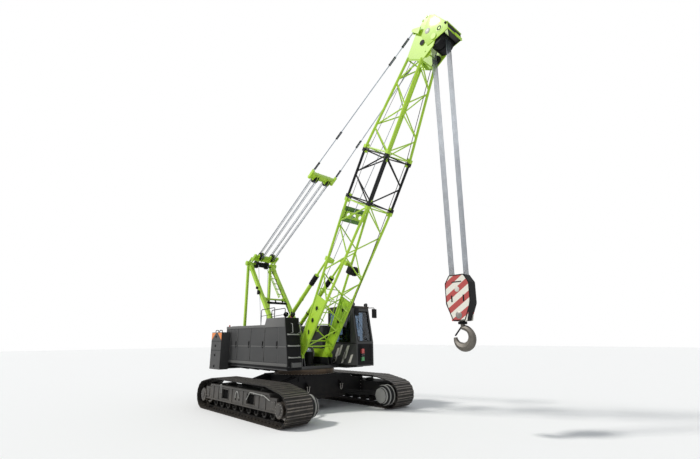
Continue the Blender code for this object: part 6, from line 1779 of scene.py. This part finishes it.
def boom():
    """Joint pins and collars, foot rims and cage, fittings and cables of the boom."""
    pins, collars = [], []
    for s in (6.68, 8.73):
        half_width, half_depth = 0.65, 0.645
        for sign in (-1, 1):
            for rise in (-1, 1):
                y, t = sign * (half_width - 0.05), rise * (half_depth - 0.05)
                pins += [
                    cross_rod(s, y - 0.085, y + 0.085, t, 0.030, 20, 0.005),
                    cross_rod(s, y - 0.095, y - 0.080, t, 0.044, 20, 0.004),
                    cross_rod(s, y + 0.080, y + 0.095, t, 0.044, 20, 0.004),
                ]
                collars += [
                    rod((s + end - 0.045, y, t), (s + end + 0.045, y, t), 0.066, 24, 0.010)
                    for end in (-0.13, 0.13)
                ]
    piece("boom_joint_pins", "boom", BARE_STEEL, pins, ON_BOOM)
    piece("boom_joint_collars", "boom", LIME_PAINT, collars, ON_BOOM)

    foot = []
    holes = (1.04, 1.565, 2.09)
    hole_rim = [(0.100, -0.021), (0.118, -0.021), (0.118, 0.021), (0.100, 0.021)]
    for sign in (-1, 1):
        y = sign * 0.70
        foot.append(cross_rod(0, y - sign * 0.054, y + sign * 0.060, 0, 0.125, 36, 0.010))
        foot += [wheel(hole_rim, 28, s, sign * 0.693, 0.03, closed=True) for s in holes]
    piece("boom_foot_rims", "boom", LIME_PAINT, foot, ON_BOOM)

    cage = []
    width = 0.50
    for s in (1.25, 1.75, 2.25, 2.75):
        depth = boom_size(s)[1] - 0.10
        points = [(s, -width, -depth), (s, -width, depth), (s, width, depth), (s, width, -depth)]
        cage.append(pipe(points, 0.020, 0.08))
    for y in (-width, width):
        for share in (-0.8, 0.8):
            ends = [(s, y, share * (boom_size(s)[1] - 0.10)) for s in (1.20, 2.80)]
            cage.append(rod(*ends, 0.018, 10))
    piece("boom_foot_cage", "boom", LIME_PAINT, cage, ON_BOOM)

    # Near-black discs filling the holes in the foot's side plates: painted shade seen through the holes.
    hole_shade_disc = [(0, -0.008), (0.0985, -0.008), (0.0985, 0.008), (0, 0.008)]
    black_and_hole_shade = [wheel(hole_shade_disc, 28, s, sign * 0.693, 0.03) for sign in (-1, 1) for s in holes]
    outside = boom_size(3.80)[0]
    profile = [
        (0, 0), (0.195, 0), (0.200, 0.012), (0.196, 0.020), (0.196, 0.088), (0.200, 0.096), (0.195, 0.108),
        (0.06, 0.112), (0.05, 0.13), (0, 0.13),
    ]
    black_and_hole_shade += [
        wheel(profile, 40, 3.80, outside + 0.004, 0.17),
        box((3.66, outside - 0.30, 0.02), (3.96, outside - 0.06, 0.30), 0.03),
    ]
    piece("boom_black_fittings", "boom", BLACK_TRIM, black_and_hole_shade, ON_BOOM)

    strips = [
        box((5.68, -0.585, 0.640), (5.852, 0.585, 0.652), 0.002),
        box((6.148, -0.585, 0.640), (6.33, 0.585, 0.652), 0.002),
        bar((5.91, 0.16, 0.66), (5.91, 0.16, 1.04), 0.15, 0.05, 0.006),
    ]
    piece("boom_rest_plate_strips", "boom", DARK_GREEN, strips, ON_BOOM)

    cable = []
    run = (6.6, 7.7, 8.8, 10.0, 11.2, 12.3)
    for places, side, in_y, in_t, radius in (
        ((2.7, 4.2, 5.7, *run, 13.1), 1, 0.11, 0.07, 0.013), ((3.9, 5.0, *run, 13.5), -1, 0.13, 0.08, 0.009),
    ):
        sizes = [(s, *boom_size(s)) for s in places]
        points = [(s, side * (half_width - in_y), -side * (half_depth - in_t)) for s, half_width, half_depth in sizes]
        cable.append(tube(points, radius, 8))
    piece("boom_cables", "boom", RUBBER, cable, ON_BOOM)

    head()


def head():
    """Cheeks, bosses, covers, pins and pale discs of the head, and its guide sheave; the black liners inside the
    cheeks and the black covers are painted shade.
    """
    cheek = [
        (12.86, -0.43), (13.13, -0.75), (13.46, -1.10), (13.70, -0.95), (14.01, -0.20), (14.01, 0.05), (13.2, 0.05),
    ]
    dark, lime, pale = [], [], []
    for sign in (-1, 1):
        lime.append(side_plate(cheek, sign * 0.428, 0.018, 0.003))
        # A black liner just inside each cheek: painted shade on the head's inner faces.
        dark.append(side_plate(cheek, sign * 0.412, 0.010))
        outer = sign * 0.437
        for s, t in ((13.42, 0.465), (13.483, -0.69)):
            lime.append(wheel([(0, 0), (0.130, 0), (0.130, 0.009), (0, 0.009)], 36, s, outer, t, sign))
            boss = [(0.055, 0), (0.088, 0), (0.088, 0.016), (0.055, 0.016)]
            dark.append(wheel(boss, 32, s, outer, t, sign, closed=True))
        dark.append(wheel([(0, 0), (0.105, 0), (0.105, 0.010), (0, 0.010)], 32, 12.98, outer, -0.11, sign))
        dark.append(cross_rod(13.66, sign * 0.40, sign * 0.47, -0.90, 0.045, 6, 0.006))
        disc = [(0, 0.014), (0.100, 0.014), (0.110, 0.006), (0.110, 0), (0, 0)]
        pale.append(wheel(disc, 36, 13.41, outer, -0.16, sign))
    # Black covers across the head's lower front: plates whose black is painted shade of the head's inside.
    thickness = 0.014
    for (s0, t0), (s1, t1) in zip(cheek[2:4], cheek[3:5]):
        length = math.hypot(s1 - s0, t1 - t0)
        in_s, in_t = -(t0 - t1) / length * -thickness, -(s1 - s0) / length * -thickness
        outline = [(s0, t0), (s1, t1), (s1 + in_s, t1 + in_t), (s0 + in_s, t0 + in_t)]
        dark.append(side_plate(outline, 0, 0.82))
    piece("head_black_fittings", "boom", BLACK_TRIM, dark, ON_BOOM)
    lime += [
        cross_rod(13.47, -0.46, 0.46, -1.10, 0.022, 16, 0.004),
        cross_rod(13.70, -0.46, 0.46, -0.95, 0.022, 16, 0.004), cross_rod(13.82, -0.42, 0.42, 0.27, 0.050, 24, 0.006),
        box((12.50, -0.36, 0.26), (12.62, 0.36, 0.34), 0.010),
    ]
    lime += [rod((13.46, y, -1.09), (13.38, y, -1.29), 0.024, 14) for y in (-0.12, 0.12)]
    lime.append(cross_rod(13.38, -0.20, 0.20, -1.29, 0.036, 20, 0.006))
    piece("head_cheeks", "boom", LIME_PAINT, lime, ON_BOOM)
    piece("head_pale_discs", "boom", PALE_PAINT, pale, ON_BOOM)
    groove = [(0.05, -0.035), (0.17, -0.035), (0.165, -0.02), (0.135, 0), (0.165, 0.02), (0.17, 0.035), (0.05, 0.035)]
    guide = [wheel(groove, 36, GUIDE_S, 0.30, -0.40, closed=True)]
    keeper = [(12.60, -0.36), (12.72, -0.36), (12.72, -0.44), (12.60, -0.44)]
    guide += [side_plate(keeper, 0.30 + edge, 0.010) for edge in (-0.045, 0.045)]
    guide.append(cross_rod(GUIDE_S, 0.22, 0.38, -0.40, 0.030, 20))
    guide += [box((12.63, y - 0.010, -0.42), (12.69, y + 0.010, -0.24), 0.003) for y in (0.245, 0.355)]
    piece("head_guide_sheave", "boom", BLACK_TRIM, guide, ON_BOOM)


# Standing and running rigging


def straight_ropes(name, ends, radius):
    """Ropes with points only at their ends."""
    vertices, faces, wraps = [], [], []
    sides = ROPE_SIDES
    for start, end in ends:
        start, end = Vector(start), Vector(end)
        turn = (end - start).to_track_quat("Z", "Y")
        length = (end - start).length
        first = len(vertices)
        for place in (start, end):
            for index in range(sides):
                angle = 2 * math.pi * index / sides
                vertices.append(place + turn @ Vector((radius * math.cos(angle), radius * math.sin(angle), 0)))
        for index in range(sides):
            after = (index + 1) % sides
            faces.append((first + index, first + after, first + sides + after, first + sides + index))
            wraps += [
                (index / sides, 0), ((index + 1) / sides, 0), ((index + 1) / sides, length), (index / sides, length),
            ]
        faces += [
            tuple(first + index for index in reversed(range(sides))),
            tuple(first + sides + index for index in range(sides)),
        ]
        wraps += [(0, 0)] * (2 * sides)
    mesh = bpy.data.meshes.new(name)
    mesh.from_pydata([tuple(vertex) for vertex in vertices], [], faces)
    layer = mesh.uv_layers.new(name="along")
    for slot, wrap in zip(layer.data, wraps):
        slot.uv = wrap
    mesh.polygons.foreach_set("use_smooth", [len(face) == 4 for face in faces])
    return mesh


def hung(name, mesh, stands_for=()):
    """A rope with its placement baked into its mesh; it hides the parts it stands for."""
    thing = linked(name, mesh, ROPE_FINISH)
    if stands_for:
        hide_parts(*stands_for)
    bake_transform(thing)


def suspension():
    """Falls of the luffing rope, the two spreaders, and the links in the pendants."""
    upper, lower = SPREADERS
    sheave_ys = [sign * y for sign in (-1, 1) for y in SPREADER_SHEAVES]
    falls = [[ON_LINE @ Vector((s, y, t)) for s in SPREADERS] for y in sheave_ys for t in (-0.18, 0.18)]
    mesh = straight_ropes("luffing_falls", falls, 0.0125)
    hung("luffing_falls", mesh, ["luffing_rope_right", "luffing_rope_left"])

    groove = [
        (0.06, -0.024), (0.205, -0.024), (0.198, -0.012), (0.178, 0), (0.198, 0.012), (0.205, 0.024), (0.06, 0.024),
    ]
    for name, s, way, body in (("upper", upper, 1, "pendants"), ("lower", lower, -1, "luffing_tackle")):
        packs = [wheel(groove, 40, s, y, 0, closed=True) for y in sheave_ys]
        lime = []
        piece(f"{name}_spreader_sheaves", body, BLACK_TRIM, packs, ON_LINE)
        for sign in (-1, 1):
            lime.append(cross_rod(s, sign * 0.60, sign * 0.70, 0, 0.085, 28, 0.008))
            lime += [cross_rod(s, sign * y - 0.012, sign * y + 0.012, 0, 0.10, 28, 0.004) for y in (0.225, 0.445)]
        lime.append(box((s + way * 0.085, -0.64, -0.115), (s + way * 0.260, 0.64, 0.115), 0.014))
        for y in (-0.455, -0.225, 0.225, 0.455):
            cheek = [
                (s - way * 0.07, -0.06), (s + way * 0.255, -0.165), (s + way * 0.255, 0.165), (s - way * 0.07, 0.06),
            ]
            lime.append(side_plate(cheek, y, 0.022, 0.004))
        piece(f"{name}_spreader_housing", body, LIME_PAINT, lime, ON_LINE)

    links = []
    for sign in (-1, 1):
        for s in (-0.50, -1.30, -4.95, -6.66):
            place = Matrix.Translation((s, sign * (0.45 - s * PENDANT_LEAN), 0)) @ Matrix.Rotation(
                -sign * math.atan(PENDANT_LEAN), 4, "Z",
            )
            links += [moved(block((0, edge, 0), (0.20, 0.007, 0.026), 0.005), place) for edge in (-0.030, 0.030)]
            links += [moved(cross_rod(end, -0.050, 0.050, 0, 0.021, 16, 0.004), place) for end in (-0.165, 0.165)]
    piece("pendant_links", "pendants", BLACK_TRIM, links, ON_LINE)


def hoisting():
    """Falls of the hoist rope down to the block, and the rope from the main winch to the head."""
    falls = [
        (ON_HEAD @ Vector((x, y, 0)), ON_HEAD @ Vector((x * 0.80, y * 0.9, BLOCK_TOP)))
        for x in (-0.31, 0.31)
        for y in FALL_YS
    ]
    mesh = straight_ropes("hoist_falls", falls, 0.0135)
    hung("hoist_falls", mesh, ["hoist_rope"])

    drum = Vector((MAIN_DRUM_X + SLEW_X, -0.28, DRUM_Z + COIL_RADIUS))
    guide = ON_BOOM @ Vector((GUIDE_S, -0.30, -0.245))
    mesh = straight_ropes("main_winch_rope", [(drum, guide)], 0.013)
    hung("main_winch_rope", mesh)

    lead = [
        tube([guide, ON_BOOM @ Vector((12.90, -0.22, -0.250)), ON_BOOM @ Vector((13.08, -0.19, -0.262))], 0.013, 10)
    ]
    piece("head_lead_rope", "boom", WIRE_ROPE, lead, place=None)


def hook_block():
    """Rims, pins and discs on the block's cheeks, painted shade in their slots, and its sheaves."""
    half, axle, trunnion = 0.18, 0.94, 0.17
    rims, discs, caps = [], [], []

    def outline_from(foot):
        return [
            (-0.25, 1.38), (0.25, 1.38), (0.41, 1.14), (0.41, 0.52), (0.20, foot), (-0.20, foot), (-0.41, 0.52),
            (-0.41, 1.14),
        ]

    edge = outline_from(0.0)
    for (x0, z0), (x1, z1) in zip(edge, edge[1:] + edge[:1]):
        if z0 != z1 or z0 < 1:
            strip = [(x0, z0), (x1, z1), (x1 * 1.018, z1 - 0.004), (x0 * 1.018, z0 - 0.004)]
            rims.append(side_plate(strip, 0, 2 * half - 0.020))
    for sign in (-1, 1):
        corners = [(x * 0.985, sign * (half - 0.006), 0.02 + (z - 0.02) * 0.992) for x, z in outline_from(0.02)]
        rims += frame_bars(corners, 0.030, 0.022, 0.004)
        # Near-black boxes in the cheeks' slots: painted shade inside the slots.
        for x, z, wide, high in ((0.0, 1.16, 0.34, 0.035), (-0.20, 0.66, 0.05, 0.20), (0.20, 0.66, 0.05, 0.20)):
            near = (x - wide / 2, sign * (half - 0.004), z - high / 2)
            rims.append(box(near, (x + wide / 2, sign * (half + 0.002), z + high / 2)))
        discs.append(
            wheel(
                [(0, 0.008), (0.075, 0.008), (0.082, 0.003), (0.082, -0.002), (0, -0.002)], 32, 0, sign * half, axle,
                sign,
            )
        )
        caps.append(
            wheel(
                [(0, 0.008), (0.10, 0.008), (0.106, 0.003), (0.106, -0.002), (0, -0.002)], 32, 0, sign * half,
                trunnion, sign,
            )
        )
        caps += [cross_rod(x, sign * half, sign * (half + 0.009), trunnion, 0.018, 14) for x in (-0.04, 0.04)]
    piece("hook_block_edges", "block", BLACK_TRIM, rims, ON_HOOK)
    piece("hook_block_discs", "block", PALE_PAINT, discs, ON_HOOK)
    piece("hook_block_trunnion_caps", "block", BARE_STEEL, caps, ON_HOOK)
    groove = [
        (0.06, -0.020), (0.265, -0.020), (0.258, -0.010), (0.240, 0), (0.258, 0.010), (0.265, 0.020), (0.06, 0.020),
    ]
    sheaves = [wheel(groove, 40, 0, y * 0.9, axle, closed=True) for y in FALL_YS]
    piece("hook_block_sheaves", "block", DARK_STEEL_AND_SHADE, sheaves, ON_HOOK)


def hook_parts():
    """Nut and latch of the hook."""
    nut = [
        moved(
            turned([(0.0, -0.02), (0.125, -0.02), (0.135, 0.0), (0.135, 0.045), (0.12, 0.058), (0, 0.058)], 36),
            Matrix.Translation((0, 0, -0.075)),
        ),
        bar((-0.02, 0, -0.13), (-0.285, 0, -0.425), 0.030, 0.055, 0.008),
        cross_rod(-0.02, -0.05, 0.05, -0.13, 0.028, 16, 0.004),
    ]
    piece("hook_nut_and_latch", "load_hook", BLACK_TRIM, nut, ON_HOOK)


# Finishes of the solids


LOOKS = {
    "boom_foot": FOOT_FINISH,
    "swing_reducer": BLACK_TRIM,
    "upper_frame": DECK_FINISH,
    "hook_block": HAZARD,
    "hook": HOOK_STEEL,
    # The carbody and, below, the far track's frame get near-black for the shade they sit in: painted shade.
    "carbody": NEAR_BLACK_AND_SHADE,
    "track_frame_right": TRACK_GREY,
    "track_frame_left": DARK_STEEL_AND_SHADE,
    "slewing_ring_upper": RUSTY_BROWN,
    "slewing_ring_lower": RUSTY_BROWN,
    "head_sheaves": BLACK_TRIM,
    "gantry_sheaves": BLACK_TRIM,
    "backstop_rod_right": LIME_PAINT,
    "backstop_rod_left": LIME_PAINT,
}
for part, look in LOOKS.items():
    for place in frame["nodes"][part].material_slots:
        place.material = look
REPLACED = {
    "track_loop_right", "track_loop_left", "cab_seat", "hoist_rope", "luffing_rope_right", "luffing_rope_left",
}
for part in frame["nodes"]:
    if part not in REPLACED:
        refined(part)

tracks()
carbody()
slewing_ring()
deck()
house_right()
house_doors()
house_left()
counterweight()
cab()
gantry()
winches()
backstops()
roof_lamps()
boom()
suspension()
hoisting()
hook_block()
hook_parts()


# Camera, floor and light


CAMERA_PLACE = (14.304 + SLEW_X, -10.794, 2.766)
CAMERA_HEADING = math.radians(136.64)
CAMERA_PITCH = math.radians(15.33)
CAMERA_ROLL = math.radians(-0.34)
CAMERA_LENS = 20.33
SENSOR = 36.0
FLOOR_SIZE = 120.0
SUN_STRENGTH, SUN_ANGLE = 2.35, math.radians(7)
SKY_STRENGTH = 0.46


def stage_white(name, colour):
    """The plain, rough white of the floor."""
    made, _, shader = bare_material(name)
    shader.inputs["Base Color"].default_value = (*colour, 1)
    shader.inputs["Roughness"].default_value = 0.9
    return made


def stage():
    """Camera, floor, sky and sun."""
    data = bpy.data.cameras.new("camera")
    data.lens = CAMERA_LENS
    data.sensor_width = SENSOR
    data.clip_end = 500.0
    camera = bpy.data.objects.new("camera", data)
    bpy.context.scene.collection.objects.link(camera)
    camera.location = CAMERA_PLACE
    turn = Matrix.Rotation(CAMERA_HEADING - math.pi / 2, 4, "Z") @ Matrix.Rotation(math.pi / 2 + CAMERA_PITCH, 4, "X")
    camera.rotation_euler = (turn @ Matrix.Rotation(CAMERA_ROLL, 4, "Z")).to_euler()
    bpy.context.scene.camera = camera

    ground = mesh_of([box((-FLOOR_SIZE, -FLOOR_SIZE, -0.05), (FLOOR_SIZE, FLOOR_SIZE, 0))])
    floor = linked("floor", ground, stage_white("floor_white", (0.93, 0.93, 0.93)))

    world = bpy.data.worlds.new("studio")
    bpy.context.scene.world = world
    world.use_nodes = True
    tree = world.node_tree
    tree.nodes.clear()
    path = wired(tree, "ShaderNodeLightPath")
    seen = maths(tree, "MAXIMUM", path.outputs["Is Camera Ray"], path.outputs["Is Glossy Ray"])
    seen = maths(tree, "MAXIMUM", seen, path.outputs["Is Transmission Ray"])
    soft = wired(tree, "ShaderNodeBackground", {"Color": (0.90, 0.95, 1.0, 1), "Strength": SKY_STRENGTH})
    white = wired(tree, "ShaderNodeBackground", {"Color": (1, 1, 1, 1), "Strength": 1.0})
    mixed = wired(tree, "ShaderNodeMixShader", {0: seen})
    tree.links.new(soft.outputs[0], mixed.inputs[1])
    tree.links.new(white.outputs[0], mixed.inputs[2])
    output = wired(tree, "ShaderNodeOutputWorld")
    tree.links.new(mixed.outputs[0], output.inputs[0])

    lamp = bpy.data.lights.new("key", "SUN")
    lamp.energy = SUN_STRENGTH
    lamp.angle = SUN_ANGLE
    lamp.color = (1.0, 0.98, 0.94)
    key = bpy.data.objects.new("key", lamp)
    key.rotation_euler = Vector((-0.62, -0.95, 1.20)).to_track_quat("Z", "Y").to_euler()
    bpy.context.scene.collection.objects.link(key)


stage()

bpy.context.scene.view_settings.view_transform = "Standard"
